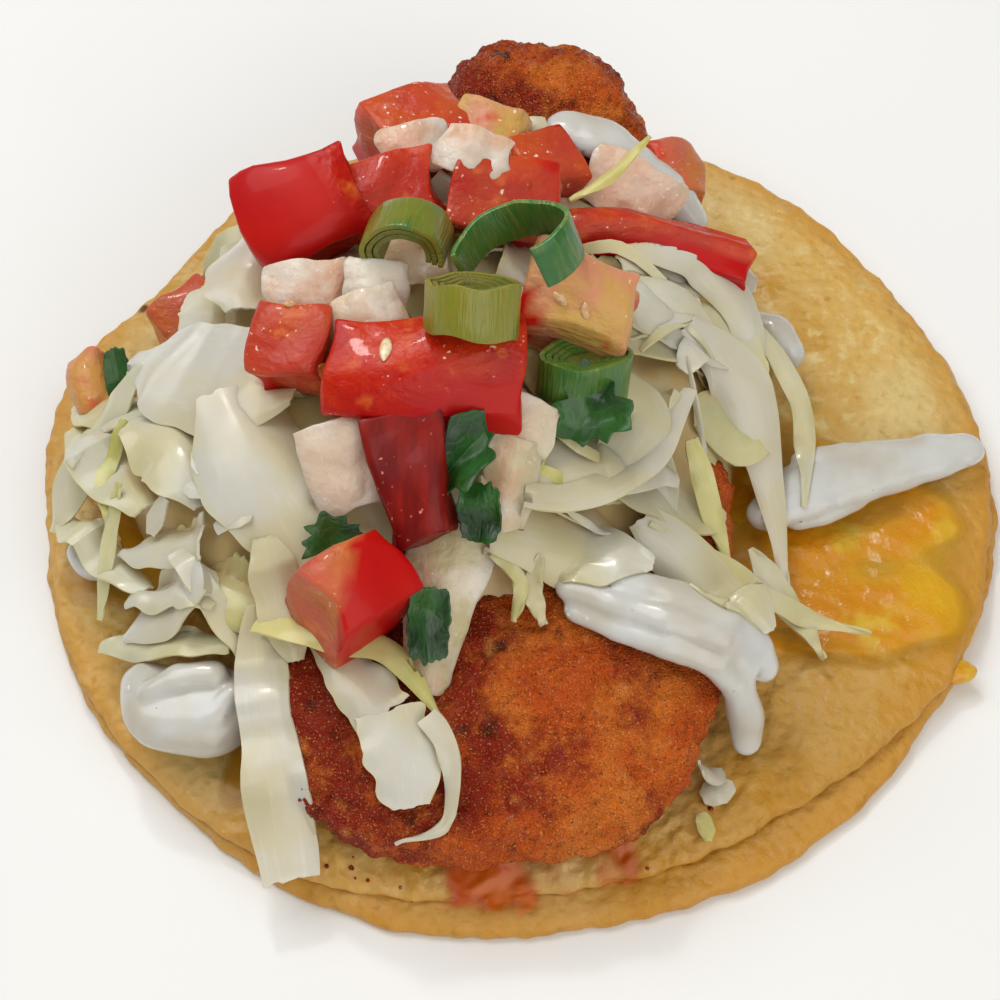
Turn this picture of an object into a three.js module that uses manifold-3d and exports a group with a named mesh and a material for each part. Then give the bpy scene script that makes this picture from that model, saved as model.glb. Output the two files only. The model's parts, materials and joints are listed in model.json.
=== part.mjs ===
// An open-faced fish taco: two stacked corn tortillas, melted cheese, one long fried fish fillet,
// crema, a heap of shredded cabbage, and a fresh salsa of diced tomato, onion, green onion and cilantro.
// Millimetres, +Z up. The origin is the middle of the flat underside of the lower tortilla,
// +Y points to the back of the taco and +X to its right.

import * as THREE from 'three';
import { mergeVertices } from 'three/addons/utils/BufferGeometryUtils.js';
import Module from 'manifold-3d';

const wasm = await Module();
wasm.setup();

// ---- Driving dimensions ----

const GAP = 0.3;                     // air left between neighbouring pieces
const BREAD_RADIUS = 70;             // a corn tortilla 140 mm across
const BREAD_THICK = 2.7;
const BREAD_PUFF = 0.35;             // height of the blisters on the upper face
const TOP_SHIFT = [-1.2, 1.8];       // the upper tortilla lies a little to the back left
const CHEESE_THICK = 0.9;
const FISH_FRONT = -64;              // the fillet runs nearly the whole way from front to back
const FISH_BACK = 68;
const CABBAGE_MIDDLE = [-10, 2];
const CABBAGE_REACH = { left: 52, right: 46, front: 42, back: 44 };
const CABBAGE_RISE = 31;             // height of the heap above what it lies on
const CABBAGE_LEAN = 0.15;           // the heap spreads forwards on the left and backwards on the right
const LEAF_THICK = 0.9;

const LOWER_TOP = BREAD_THICK;
const UPPER_BASE = LOWER_TOP + GAP;
const UPPER_TOP = UPPER_BASE + BREAD_THICK;
const SEAT = UPPER_TOP + 2 * GAP + CHEESE_THICK + BREAD_PUFF;   // where the fillings start

const COLOURS = {
  bread: 0xd2b267,
  cheese: 0xdd9a2e,
  fish: 0x9c4a1e,
  crema: 0xe4e6e2,
  cabbage: 0xdcdec2,
  tomato: 0xc4281c,
  paleTomato: 0xd98a5c,
  onion: 0xe2cdbb,
  scallion: 0x5f8c35,
  cilantro: 0x2c6330,
};

// ---- Small tools ----

const radians = THREE.MathUtils.degToRad;
const lerp = THREE.MathUtils.lerp;

// Numbers from 0 to 1 that are the same on every run.
function dice(seed) {
  let state = seed;
  return () => {
    state = (state * 1664525 + 1013904223) % 4294967296;
    return state / 4294967296;
  };
}

// A soft, uneven ripple between about -1 and 1, with crests about `size` apart.
function ripple(x, y, size, phase = 0) {
  const k = (2 * Math.PI) / size;
  const first = Math.sin(k * (0.8 * x + 0.6 * y) + phase);
  const second = Math.sin(k * (-0.5 * x + 0.9 * y) * 0.77 + 1.7 * phase + 1.1);
  const third = Math.sin(k * (0.95 * x - 0.35 * y) * 1.31 + 2.3 * phase + 2.4);
  return (first + second + third) / 2.2;
}

// Reads a smooth line through [place, value] pairs.
function profile(pairs) {
  const curve = new THREE.CatmullRomCurve3(pairs.map(([at, value]) => new THREE.Vector3(at, value, 0)));
  const samples = curve.getPoints(80);
  return (at) => {
    const next = samples.findIndex((point) => point.x >= at);
    if (next < 0) return samples[samples.length - 1].y;
    if (next === 0) return samples[0].y;
    const low = samples[next - 1];
    const high = samples[next];
    return lerp(low.y, high.y, (at - low.x) / (high.x - low.x));
  };
}

// A bump of height 1 at the angle `middle`, down to about a fifth `spread` degrees away.
function lobe(angle, middle, spread) {
  let away = Math.abs(angle - middle) % 360;
  away = Math.min(away, 360 - away);
  return Math.exp(-((away / spread) ** 2) * 1.5);
}

// Makes a mesh geometry whose triangles all point outwards.
function shell(position, index) {
  const geometry = new THREE.BufferGeometry();
  let volume = 0;
  const corner = [0, 1, 2].map(() => new THREE.Vector3());
  for (let i = 0; i < index.length; i += 3) {
    corner.forEach((point, k) => point.fromArray(position, 3 * index[i + k]));
    volume += corner[0].dot(corner[1].clone().cross(corner[2]));
  }
  geometry.setAttribute('position', new THREE.Float32BufferAttribute(position, 3));
  geometry.setIndex(volume > 0 ? index : index.slice().reverse());
  return geometry;
}

// Skins a row of rings. Ends that don't join up are closed by a fan round a middle point.
function loft(rings, joined = false) {
  const count = rings[0].length;
  const position = rings.flat().flatMap((point) => point.toArray());
  const index = [];
  const spans = joined ? rings.length : rings.length - 1;
  for (let i = 0; i < spans; i++) {
    const a = i * count;
    const b = ((i + 1) % rings.length) * count;
    for (let j = 0; j < count; j++) {
      const k = (j + 1) % count;
      index.push(a + j, a + k, b + k, a + j, b + k, b + j);
    }
  }
  if (!joined) {
    [0, rings.length - 1].forEach((end) => {
      const middle = new THREE.Vector3();
      rings[end].forEach((point) => middle.addScaledVector(point, 1 / count));
      const hub = position.length / 3;
      position.push(...middle.toArray());
      for (let j = 0; j < count; j++) {
        const pair = [end * count + j, end * count + ((j + 1) % count)];
        index.push(hub, ...(end === 0 ? pair.reverse() : pair));
      }
    });
  }
  return shell(position, index);
}

// Closes the space between an upper and a lower grid of points, both split alike.
function sheet(upper, lower) {
  const rows = upper.length;
  const columns = upper[0].length;
  const position = [...upper.flat(), ...lower.flat()].flatMap((point) => point.toArray());
  const below = rows * columns;
  const index = [];
  const quad = (a, b, c, d) => index.push(a, b, c, a, c, d);
  for (let i = 0; i < rows - 1; i++) {
    for (let j = 0; j < columns - 1; j++) {
      const a = i * columns + j;
      const b = a + columns;
      index.push(a, a + 1, b + 1, a, b + 1, b);
      index.push(below + a, below + b + 1, below + a + 1, below + a, below + b, below + b + 1);
    }
  }
  for (let i = 0; i < rows - 1; i++) {
    const a = i * columns;
    const z = a + columns - 1;
    quad(a, a + columns, below + a + columns, below + a);
    quad(z + columns, z, below + z, below + z + columns);
  }
  for (let j = 0; j < columns - 1; j++) {
    const z = (rows - 1) * columns + j;
    quad(j + 1, j, below + j, below + j + 1);
    quad(z, z + 1, below + z + 1, below + z);
  }
  return shell(position, index);
}

// A round slab: rings of points between a lower and an upper height over a wavy outline.
// `edge` is how far the rim's corners are rounded inwards, and the faces' triangles meet at `pole`.
function slab(form) {
  const { middle, outline, lower, upper, upperRings, lowerRings, sectors, edge, pole = middle } = form;
  const position = [];
  const index = [];
  const ring = (share, inset, height) => {
    const start = position.length / 3;
    for (let j = 0; j < sectors; j++) {
      const angle = (j / sectors) * 360;
      const reach = outline(angle) * share - inset;
      const x = middle[0] + reach * Math.cos(radians(angle));
      const y = middle[1] + reach * Math.sin(radians(angle));
      position.push(x, y, height(x, y));
    }
    return start;
  };
  const hub = (height) => {
    position.push(...pole, height(...pole));
    return position.length / 3 - 1;
  };
  const join = (a, b) => {
    for (let j = 0; j < sectors; j++) {
      const k = (j + 1) % sectors;
      index.push(a + j, a + k, b + k, a + j, b + k, b + j);
    }
  };
  const top = hub(upper);
  const starts = [
    ...upperRings.map((share) => ring(share, edge, upper)),
    ring(1, 0, (x, y) => lerp(lower(x, y), upper(x, y), 0.62)),
    ring(1, 0, (x, y) => lerp(lower(x, y), upper(x, y), 0.3)),
    ...lowerRings.map((share) => ring(share, edge, lower)),
  ];
  const bottom = hub(lower);
  for (let j = 0; j < sectors; j++) {
    index.push(top, starts[0] + ((j + 1) % sectors), starts[0] + j);
    const last = starts[starts.length - 1];
    index.push(bottom, last + j, last + ((j + 1) % sectors));
  }
  for (let i = 1; i < starts.length; i++) join(starts[i - 1], starts[i]);
  return shell(position, index);
}

// ---- Cutting ----

function toSolid(geometry) {
  const bare = geometry.clone();
  bare.deleteAttribute('normal');
  bare.deleteAttribute('uv');
  const merged = mergeVertices(bare, 1e-4);
  const mesh = new wasm.Mesh({
    numProp: 3,
    vertProperties: new Float32Array(merged.attributes.position.array),
    triVerts: new Uint32Array(merged.index.array),
  });
  return new wasm.Manifold(mesh);
}

function toGeometry(solid) {
  const mesh = solid.getMesh();
  const geometry = new THREE.BufferGeometry();
  geometry.setAttribute('position', new THREE.BufferAttribute(mesh.vertProperties, 3));
  geometry.setIndex(new THREE.BufferAttribute(mesh.triVerts, 1));
  return geometry;
}

// The same shape grown outwards by `amount`.
function swell(geometry, amount) {
  const bare = geometry.clone();
  bare.deleteAttribute('normal');
  bare.deleteAttribute('uv');
  const grown = mergeVertices(bare, 1e-4);
  grown.computeVertexNormals();
  const place = grown.attributes.position;
  const normal = grown.attributes.normal;
  for (let i = 0; i < place.count; i++) {
    place.setXYZ(
      i,
      place.getX(i) + amount * normal.getX(i),
      place.getY(i) + amount * normal.getY(i),
      place.getZ(i) + amount * normal.getZ(i),
    );
  }
  return grown;
}

function boxOf(geometry) {
  geometry.computeBoundingBox();
  return geometry.boundingBox;
}

// Cuts away what would run into the neighbours, and keeps the largest body that is left.
function cutBack(solid, box, neighbours) {
  let left = solid;
  neighbours
    .filter((other) => boxOf(other).clone().expandByScalar(GAP).intersectsBox(box))
    .forEach((other) => {
      left = left.subtract(toSolid(swell(other, GAP))).subtract(toSolid(other));
    });
  return left.decompose().sort((a, b) => b.volume() - a.volume())[0];
}

function fitted(geometry, neighbours) {
  return toGeometry(cutBack(toSolid(geometry), boxOf(geometry), neighbours));
}

// ---- Surfaces that the pieces lie on ----

const blister = (x, y) => BREAD_PUFF * 0.6 * (ripple(x, y, 21, 0.4) + 0.5 * ripple(x, y, 11, 2));
const breadTop = (x, y) => UPPER_TOP + blister(x, y);

const fishLeft = profile([[-70, -37], [-40, -38], [-15, -35], [10, -30], [35, -22], [60, -16], [72, -14]]);
const fishRight = profile([[-70, 27], [-40, 30], [-15, 31], [10, 28.5], [35, 25], [60, 21], [72, 19]]);
const fishTop = profile([[-70, 21], [-40, 23], [-5, 23], [25, 25.5], [45, 31], [60, 38], [72, 38]]);
const fishLift = profile([[-70, 1], [-50, 0], [20, 0], [40, 1.5], [60, 6], [72, 8]]);

// How much of its full width and thickness the fillet has at the place y, down to 0 at the ends.
function fishFullness(y) {
  const middle = (FISH_FRONT + FISH_BACK) / 2;
  const share = Math.min(1, Math.abs(y - middle) / ((FISH_BACK - FISH_FRONT) / 2));
  return (1 - share ** 3.6) ** (1 / 3.6);
}

function fishAt(y) {
  const full = fishFullness(y);
  const middle = (fishLeft(y) + fishRight(y)) / 2;
  const half = ((fishRight(y) - fishLeft(y)) / 2) * full;
  const base = SEAT + fishLift(y);
  const height = (fishTop(y) - base) * lerp(0.3, 1, full ** 1.5);
  return { middle, half, centre: base + height / 2, rise: height / 2 };
}

function fishHeight(x, y) {
  if (y <= FISH_FRONT || y >= FISH_BACK) return 0;
  const { middle, half, centre, rise } = fishAt(y);
  const share = Math.abs(x - middle) / half;
  return share < 1 ? centre + rise * (1 - share ** 2.6) ** (1 / 2.2) : 0;
}

function heapShare(x, y) {
  const [cx, cy] = CABBAGE_MIDDLE;
  const across = x < cx ? CABBAGE_REACH.left : CABBAGE_REACH.right;
  const along = y < cy ? CABBAGE_REACH.front : CABBAGE_REACH.back;
  return Math.hypot((x - cx) / across, (y - cy - CABBAGE_LEAN * (x - cx)) / along);
}

function heapHeight(x, y) {
  const share = heapShare(x, y);
  return share < 1 ? SEAT + CABBAGE_RISE * (1 - share ** 2.4) ** 0.6 : SEAT;
}

const support = (x, y) => Math.max(heapHeight(x, y), fishHeight(x, y), SEAT);

// The surface that a limp leaf takes over the filling: it bridges hollows and leans off edges.
const LEAF_SLOPE = 1.3;
const AROUND = [0, 45, 90, 135, 180, 225, 270, 315].map(radians);

function leafHeight(x, y) {
  let height = support(x, y);
  [2, 4, 7, 10].forEach((away) => {
    AROUND.forEach((angle) => {
      const near = support(x + away * Math.cos(angle), y + away * Math.sin(angle));
      height = Math.max(height, near - LEAF_SLOPE * away);
    });
  });
  return height;
}

// ---- Tortillas and cheese ----

// The lower tortilla is nearly round, with a dent at the back left.
function lowerOutline(angle) {
  const wobble = 0.7 * Math.sin(radians(3 * angle + 40)) + 0.5 * Math.sin(radians(7 * angle + 110));
  return BREAD_RADIUS + wobble - 5.2 * lobe(angle, 143, 17) - 1.2 * lobe(angle, 100, 30);
}

// The upper one is a little smaller, so that the lower one shows along the front right.
function upperOutline(angle) {
  const wobble = 0.6 * Math.sin(radians(4 * angle + 200)) + 0.4 * Math.sin(radians(9 * angle));
  const reach = BREAD_RADIUS - 1.3 + 2 * lobe(angle, 0, 42);
  return reach + wobble - 4.2 * lobe(angle, 143, 18) - 2.2 * lobe(angle, -62, 45);
}

function tortillaBottom() {
  return slab({
    middle: [0, 0],
    pole: [9, 6],
    outline: lowerOutline,
    lower: () => 0,
    upper: (x, y) => LOWER_TOP + 0.15 * (ripple(x, y, 26, 1) - 1),
    upperRings: [0.75, 0.93, 1],
    lowerRings: [1, 0.5],
    sectors: 48,
    edge: 0.7,
  });
}

function tortillaTop() {
  return slab({
    middle: TOP_SHIFT,
    outline: upperOutline,
    lower: () => UPPER_BASE,
    upper: breadTop,
    upperRings: [0.4, 0.62, 0.76, 0.87, 0.95, 1],
    lowerRings: [1, 0.5],
    sectors: 48,
    edge: 0.8,
  });
}

// The cheese has run out in tongues: past the left rim, to the right, and to the front.
function cheeseOutline(angle) {
  const tongues =
    24 * lobe(angle, 181, 13) + 10 * lobe(angle, 197, 9) + 20 * lobe(angle, -12, 15) +
    14 * lobe(angle, -32, 13) - 6 * lobe(angle, 32, 26) + 17 * lobe(angle, -94, 13) +
    13 * lobe(angle, -128, 11) + 8 * lobe(angle, -70, 8);
  return 46 + tongues + 1.2 * Math.sin(radians(11 * angle)) + 0.8 * Math.sin(radians(17 * angle + 60));
}

function meltedCheese() {
  const thickness = (x, y) => CHEESE_THICK * (0.75 + 0.25 * ripple(x, y, 14, 3));
  return slab({
    middle: [0, 0],
    outline: cheeseOutline,
    lower: (x, y) => breadTop(x, y) + 1.3 * GAP,
    upper: (x, y) => breadTop(x, y) + 1.3 * GAP + thickness(x, y),
    upperRings: [0.7, 1],
    lowerRings: [1, 0.7],
    sectors: 54,
    edge: 0.8,
  });
}

// A bead squeezed out between the two tortillas at the right rim.
function cheeseTip() {
  const bead = new THREE.SphereGeometry(1, 7, 4);
  bead.scale(3.2, 2.6, 1.5);
  bead.rotateZ(radians(-28));
  bead.translate(62.6, -30.2, LOWER_TOP + GAP / 2);
  return bead;
}

// ---- Fish ----

// One long fillet in a crisp breaded crust, broad at the front, narrow and lifted at the back.
function fishFillet(stations, around) {
  const middle = (FISH_FRONT + FISH_BACK) / 2;
  const reach = (FISH_BACK - FISH_FRONT) / 2;
  const rings = [];
  for (let i = 0; i < stations; i++) {
    const y = middle + reach * 0.9985 * Math.sin(Math.PI * ((i + 0.35) / (stations - 0.3) - 0.5));
    const { middle: cx, half, centre, rise } = fishAt(y);
    const ring = [];
    for (let j = 0; j < around; j++) {
      const turn = (j / around) * 2 * Math.PI;
      const side = Math.sign(Math.cos(turn)) * Math.abs(Math.cos(turn)) ** (2 / 2.6);
      const lift = Math.sign(Math.sin(turn)) * Math.abs(Math.sin(turn)) ** (2 / 2.2);
      const grit = 0.55 * ripple(cx + half * side + 9 * lift, y, 9, j);
      const crag = grit + 0.5 * ripple(half * side, y, 23, 1);
      const x = cx + (half + crag) * side;
      const z = Math.max(SEAT, centre + (rise + 0.8 * crag) * lift);
      ring.push(new THREE.Vector3(x, y, z));
    }
    rings.push(ring);
  }
  return loft(rings);
}

// ---- Crema ----

// A poured rope of crema: stops of { at, wide, high }, flat where it lies and round at both ends.
function poured(stops, around = 8, steps = 8) {
  const path = new THREE.CatmullRomCurve3(stops.map(({ at }) => new THREE.Vector3(...at)));
  const read = (key) => profile(stops.map((stop, i) => [i / (stops.length - 1), stop[key]]));
  const wide = read('wide');
  const high = read('high');
  const rings = [];
  for (let i = 0; i < steps; i++) {
    const share = 0.5 - 0.5 * Math.cos((Math.PI * (i + 0.45)) / (steps - 0.1));
    const round = Math.sqrt(Math.max(0.02, 1 - (2 * share - 1) ** 6));
    const spot = path.getPoint(share);
    const along = path.getTangent(share);
    const across = new THREE.Vector3(along.y, -along.x, 0);
    if (across.length() < 0.05) across.set(1, 0, 0);
    across.normalize();
    const up = across.clone().cross(along).normalize();
    const ring = [];
    for (let j = 0; j < around; j++) {
      const turn = (j / around) * 2 * Math.PI;
      const point = spot.clone();
      point.addScaledVector(across, (Math.cos(turn) * wide(share) * round) / 2);
      point.addScaledVector(up, (Math.sin(turn) * high(share) * round) / 2);
      ring.push(point);
    }
    rings.push(ring);
  }
  return loft(rings);
}

const CREMA = {
  crema_front_left: [
    { at: [-52, -36, 10.5], wide: 8, high: 7 },
    { at: [-48, -41, 11.5], wide: 13, high: 9 },
    { at: [-42, -42, 12.5], wide: 14, high: 11 },
    { at: [-37, -37, 13.5], wide: 9, high: 10 },
  ],
  crema_left: [
    { at: [-63, -14, 9], wide: 4.5, high: 4 },
    { at: [-60, -16, 10], wide: 6.5, high: 6 },
    { at: [-56, -17, 11], wide: 5, high: 5 },
  ],
  crema_front_right: [
    { at: [6, -30, 26], wide: 6, high: 4 },
    { at: [17, -35, 25.5], wide: 7, high: 4 },
    { at: [28, -39, 24.5], wide: 8, high: 4.5 },
    { at: [32.5, -41, 19], wide: 6, high: 5 },
    { at: [33, -47, 9], wide: 5, high: 3.6 },
  ],
  crema_stripe: [
    { at: [34, -8, 11], wide: 11, high: 5 },
    { at: [44, -4, 9.4], wide: 14, high: 4.4 },
    { at: [56, 1, 8.8], wide: 9, high: 3.4 },
    { at: [68.5, 4.6, 8], wide: 2.4, high: 1.6 },
  ],
  crema_knob: [
    { at: [34, 25, 12], wide: 6, high: 6 },
    { at: [38.5, 22, 12.5], wide: 7, high: 8 },
    { at: [41.5, 17, 12], wide: 6.5, high: 8 },
  ],
  crema_back: [
    { at: [5, 46, 34], wide: 8, high: 4 },
    { at: [13, 43, 32.5], wide: 8, high: 4 },
    { at: [21, 40, 28], wide: 9, high: 5 },
    { at: [27, 35, 21], wide: 7, high: 6 },
  ],
};

// ---- Salsa pieces ----

// Moves a shape made round its own middle to its place; the turns are about X, then Y, then Z.
function placed(geometry, { at, turn }) {
  const angles = new THREE.Euler(...turn.map(radians), 'ZYX');
  geometry.applyMatrix4(new THREE.Matrix4().makeRotationFromEuler(angles));
  return geometry.translate(...at);
}

// A knife-cut dice of tomato: flat cut sides, worn corners and a skin side (+Z) that crowns.
// `taper` narrows the front end, `bend` curves a long slice sideways.
function tomatoDice({ size, crown = 0.16, taper = 0, bend = 0, seed }) {
  const pieces = size.map((length) => (length > 18 ? 3 : 2));
  const box = new THREE.BoxGeometry(2, 2, 2, ...pieces);
  box.deleteAttribute('normal');
  box.deleteAttribute('uv');
  const cube = mergeVertices(box);
  const roll = dice(seed);
  const place = cube.attributes.position;
  for (let i = 0; i < place.count; i++) {
    const point = new THREE.Vector3().fromBufferAttribute(place, i);
    const outer = ['x', 'y', 'z'].filter((axis) => Math.abs(point[axis]) > 0.99).length;
    const worn = [1, 1, 0.95, 0.86][outer];
    const crowned = point.z > 0.99 ? crown * 2 * (1 - 0.5 * (point.x ** 2 + point.y ** 2)) : 0;
    const narrow = 1 - (taper * (1 - point.y)) / 2;
    const jitter = () => 1 + 0.16 * (roll() - 0.5);
    const x = point.x * worn * narrow * jitter();
    const y = point.y * worn * jitter();
    const z = (point.z + crowned) * worn * jitter();
    place.setXYZ(i, (x * size[0]) / 2, (y * size[1]) / 2 + bend * x * x, (z * size[2]) / 2);
  }
  return cube;
}

const TOMATOES = [
  { at: [-29, 23, 39.5], size: [17, 14, 15], turn: [28, -12, 24], seed: 3 },
  { at: [-12, -7, 42.5], size: [25, 13, 11], turn: [24, 2, -4], seed: 5 },
  { at: [-14, -20, 37], size: [10, 19, 8], turn: [33, -6, 10], taper: 0.2, seed: 8 },
  { at: [-22, -34, 29], size: [12, 11, 14], turn: [14, 8, 38], seed: 11 },
  { at: [-30, -2, 40], size: [10, 10, 11], turn: [18, -6, -8], seed: 14 },
  { at: [8, 3, 44], size: [14, 11, 11], turn: [20, 6, -16], pale: true, seed: 17 },
  { at: [-15, 41, 33.5], size: [14, 12, 12], turn: [8, 12, 26], seed: 20 },
  { at: [-17, 24, 41], size: [12, 11, 9], turn: [16, -6, 10], seed: 23 },
  { at: [-2, 24, 41], size: [15, 11, 9], turn: [20, 8, -8], seed: 26 },
  { at: [3, 36, 33], size: [10, 9, 9], turn: [14, 10, 32], pale: true, seed: 29 },
  { at: [20, 26, 29.5], size: [27, 7, 8], turn: [18, 10, -3], bend: -2, seed: 32 },
  { at: [22, 43, 23], size: [9, 9, 9], turn: [12, 22, 14], seed: 35 },
  { at: [-49, 25, 13], size: [10, 8, 8], turn: [22, -12, 36], seed: 38 },
  { at: [-60, 10, 14.5], size: [6, 10, 9], turn: [10, -24, 8], pale: true, seed: 41 },
  { at: [-4, 40.5, 36], size: [10, 9, 7], turn: [24, 0, -14], pale: true, seed: 44 },
];

// A chopped layer of onion: a thin slab bent round X, narrowed towards the front by `taper`.
function onionPetal({ size, curl = 0.5, taper = 0, seed }) {
  const roll = dice(seed);
  const rows = 3;
  const columns = 3;
  const upper = [];
  const lower = [];
  for (let i = 0; i < rows; i++) {
    upper.push([]);
    lower.push([]);
    for (let j = 0; j < columns; j++) {
      const v = (2 * i) / (rows - 1) - 1;
      const u = (2 * j) / (columns - 1) - 1;
      const narrow = 1 - (taper * (1 - v)) / 2;
      const x = (u * narrow * (1 + 0.14 * (roll() - 0.5)) * size[0]) / 2;
      const y = (v * (1 + 0.14 * (roll() - 0.5)) * size[1]) / 2;
      const arch = -curl * size[2] * (u * u + 0.3 * v * v);
      const thick = size[2] * (1 - 0.25 * Math.max(Math.abs(u), Math.abs(v)) ** 3);
      upper[i].push(new THREE.Vector3(x, y, arch + thick / 2));
      lower[i].push(new THREE.Vector3(x * 0.96, y * 0.96, arch - thick / 2));
    }
  }
  return sheet(upper, lower);
}

const ONIONS = [
  { at: [-29, 6, 44.5], size: [11, 7, 3], turn: [30, -6, 4], seed: 2 },
  { at: [-19, 5, 47], size: [8, 6, 2.6], turn: [28, 6, -6], seed: 4 },
  { at: [-20, -1, 47], size: [9, 7, 2.6], turn: [26, -8, 22], seed: 6 },
  { at: [-23, -19, 38], size: [13, 12, 3.2], turn: [42, -6, 8], seed: 8 },
  { at: [-10.5, -34, 27], size: [12, 23, 2.8], turn: [26, 4, -8], taper: 0.6, seed: 10 },
  { at: [-1, -13, 41], size: [13, 7, 3], turn: [34, 10, -24], seed: 12 },
  { at: [-1, -21, 36], size: [7, 13, 2.8], turn: [38, 12, -8], taper: 0.2, seed: 14 },
  { at: [-14, 32, 43.5], size: [9, 7, 2.6], turn: [18, 4, 14], seed: 16 },
  { at: [-6, 27, 48], size: [10, 7, 2.6], turn: [22, 8, -20], seed: 18 },
  { at: [17, 35, 30], size: [14, 9, 3], turn: [32, 24, -18], seed: 20 },
  { at: [-14, 13, 43.5], size: [8, 9, 2.8], turn: [24, 0, 10], seed: 22 },
];

// A slice of green onion: a tube wall bent round the local Z axis, whole or slit open.
function onionRing({ radius, wall, height, arc, start = 0, squash = 1 }) {
  const whole = arc >= 360;
  const steps = Math.round(arc / 26);
  const rings = [];
  for (let i = 0; i < steps + (whole ? 0 : 1); i++) {
    const angle = radians(start + (i / steps) * arc);
    const away = new THREE.Vector3(Math.cos(angle), squash * Math.sin(angle), 0);
    const corners = [[-1, -1], [1, -1], [1, 1], [-1, 1]];
    rings.push(corners.map(([side, end]) => {
      const point = away.clone().multiplyScalar(radius - wall / 2 + (side * wall) / 2);
      point.z = (end * height) / 2;
      return point;
    }));
  }
  return loft(rings, whole);
}

const RINGS = [
  { at: [-6, -4.5, 53.5], turn: [-40, 4, 0], radius: 6.5, wall: 2, height: 7, arc: 360, squash: 0.85 },
  { at: [-15, 9.5, 49], turn: [76, 0, -12], radius: 6, wall: 1.7, height: 6.5, arc: 212, start: -4 },
  { at: [-0.5, 4.5, 54], turn: [-14, -22, 0], radius: 8.6, wall: 1.5, height: 6, arc: 246, start: -60, squash: 0.8 },
  { at: [9, -6, 41], turn: [-20, 10, 12], radius: 6.5, wall: 1.9, height: 6.5, arc: 360, squash: 0.7 },
];

// A cilantro leaf: thin and wavy, with a toothed margin, folded along its midrib.
function cilantroLeaf({ size, fold = 0.25, wave = 0.8, seed }) {
  const roll = dice(seed);
  const phase = 6 * roll();
  const thick = 0.5;
  const rows = 7;
  const upper = [];
  const lower = [];
  for (let i = 0; i < rows; i++) {
    const v = i / (rows - 1);
    const lobes = Math.sin(Math.PI * Math.min(1, 0.12 + 0.86 * v)) ** 0.6;
    const tooth = i % 2 ? 1.14 : 0.8;
    const half = Math.max(0.5, (size[0] / 2) * lobes * tooth);
    const rib = [-1, 0, 1].map((u) => {
      const drop = fold * half * Math.abs(u) + wave * Math.sin(5 * v + 2.2 * u + phase);
      return new THREE.Vector3(u * half, (0.5 - v - 0.06 * Math.abs(u)) * size[1], drop);
    });
    upper.push(rib);
    lower.push(rib.map((point) => point.clone().setZ(point.z - thick)));
  }
  return sheet(upper, lower);
}

const LEAVES = [
  { at: [10, -12, 41], size: [12, 11], turn: [30, 8, -38], seed: 1 },
  { at: [-8, -20, 40.5], size: [8, 17], turn: [34, 14, -42], fold: 0.6, wave: 1.2, seed: 2 },
  { at: [-5, -26, 37], size: [6, 8], turn: [46, -10, -12], seed: 3 },
  { at: [-12, -38, 28.5], size: [6, 10], turn: [40, 14, 8], seed: 4 },
  { at: [-25, -27, 33], size: [9, 6], turn: [36, -4, 18], seed: 5 },
  { at: [-57, 8, 20], size: [4, 10], turn: [40, -10, 4], wave: 0.3, seed: 6 },
  { at: [-22, -11, 42], size: [3, 7], turn: [40, 0, 4], wave: 0.2, seed: 7 },
];

// ---- Cabbage ----

// Walks over the heap from a starting place and returns points that lie `lift` above it.
function drape({ from, heading, length, bend = 0, lift = [0, 1.6, 1.4] }, steps) {
  const raise = profile(lift.map((value, i) => [i / (lift.length - 1), value]));
  const points = [];
  const stride = 1;
  let [x, y] = from;
  for (let gone = 0; gone <= length; gone += stride) {
    const share = gone / length;
    const height = leafHeight(x, y);
    points.push(new THREE.Vector3(x, y, height + raise(share)));
    const course = radians(heading + bend * share);
    const ahead = leafHeight(x + Math.cos(course), y + Math.sin(course));
    const flat = stride / Math.hypot(1, ahead - height);
    x += flat * Math.cos(course);
    y += flat * Math.sin(course);
  }
  return new THREE.CatmullRomCurve3(points).getSpacedPoints(steps);
}

// A cut strip of cabbage leaf laid over the heap. `cup` curls it across, `roll` tips it sideways
// in degrees along its length, and the ends narrow to `tips` of the full width.
function cabbageStrip(strip, steps, columns) {
  const { width, cup = 0.1, roll = [0, 0], tips = [0.7, 0.5], frill = 0 } = strip;
  const spine = drape(strip, steps);
  const upper = [];
  const lower = [];
  spine.forEach((spot, i) => {
    const share = i / steps;
    const along = spine[Math.min(i + 1, steps)].clone().sub(spine[Math.max(i - 1, 0)]).normalize();
    const across = new THREE.Vector3(-along.y, along.x, 0).normalize();
    const up = along.clone().cross(across).normalize();
    const tip = lerp(roll[0], roll[1], share);
    across.applyAxisAngle(along, radians(tip));
    up.applyAxisAngle(along, radians(tip));
    const ends = share < 0.5 ? lerp(tips[0], 1, share / 0.5) : lerp(1, tips[1], (share - 0.5) / 0.5);
    const row = [];
    for (let j = 0; j <= columns; j++) {
      const u = (2 * j) / columns - 1;
      const edge = frill * Math.abs(u) * Math.sin(9 * share + 2 * u);
      const point = spot.clone();
      point.addScaledVector(across, (u * width * ends) / 2);
      point.addScaledVector(up, cup * width * (u * u - 0.4) + edge);
      row.push(point);
    }
    upper.push(row.map((point) => point.clone().addScaledVector(up, LEAF_THICK / 2)));
    lower.push(row.map((point) => point.clone().addScaledVector(up, -LEAF_THICK / 2)));
  });
  return sheet(upper, lower);
}

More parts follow.
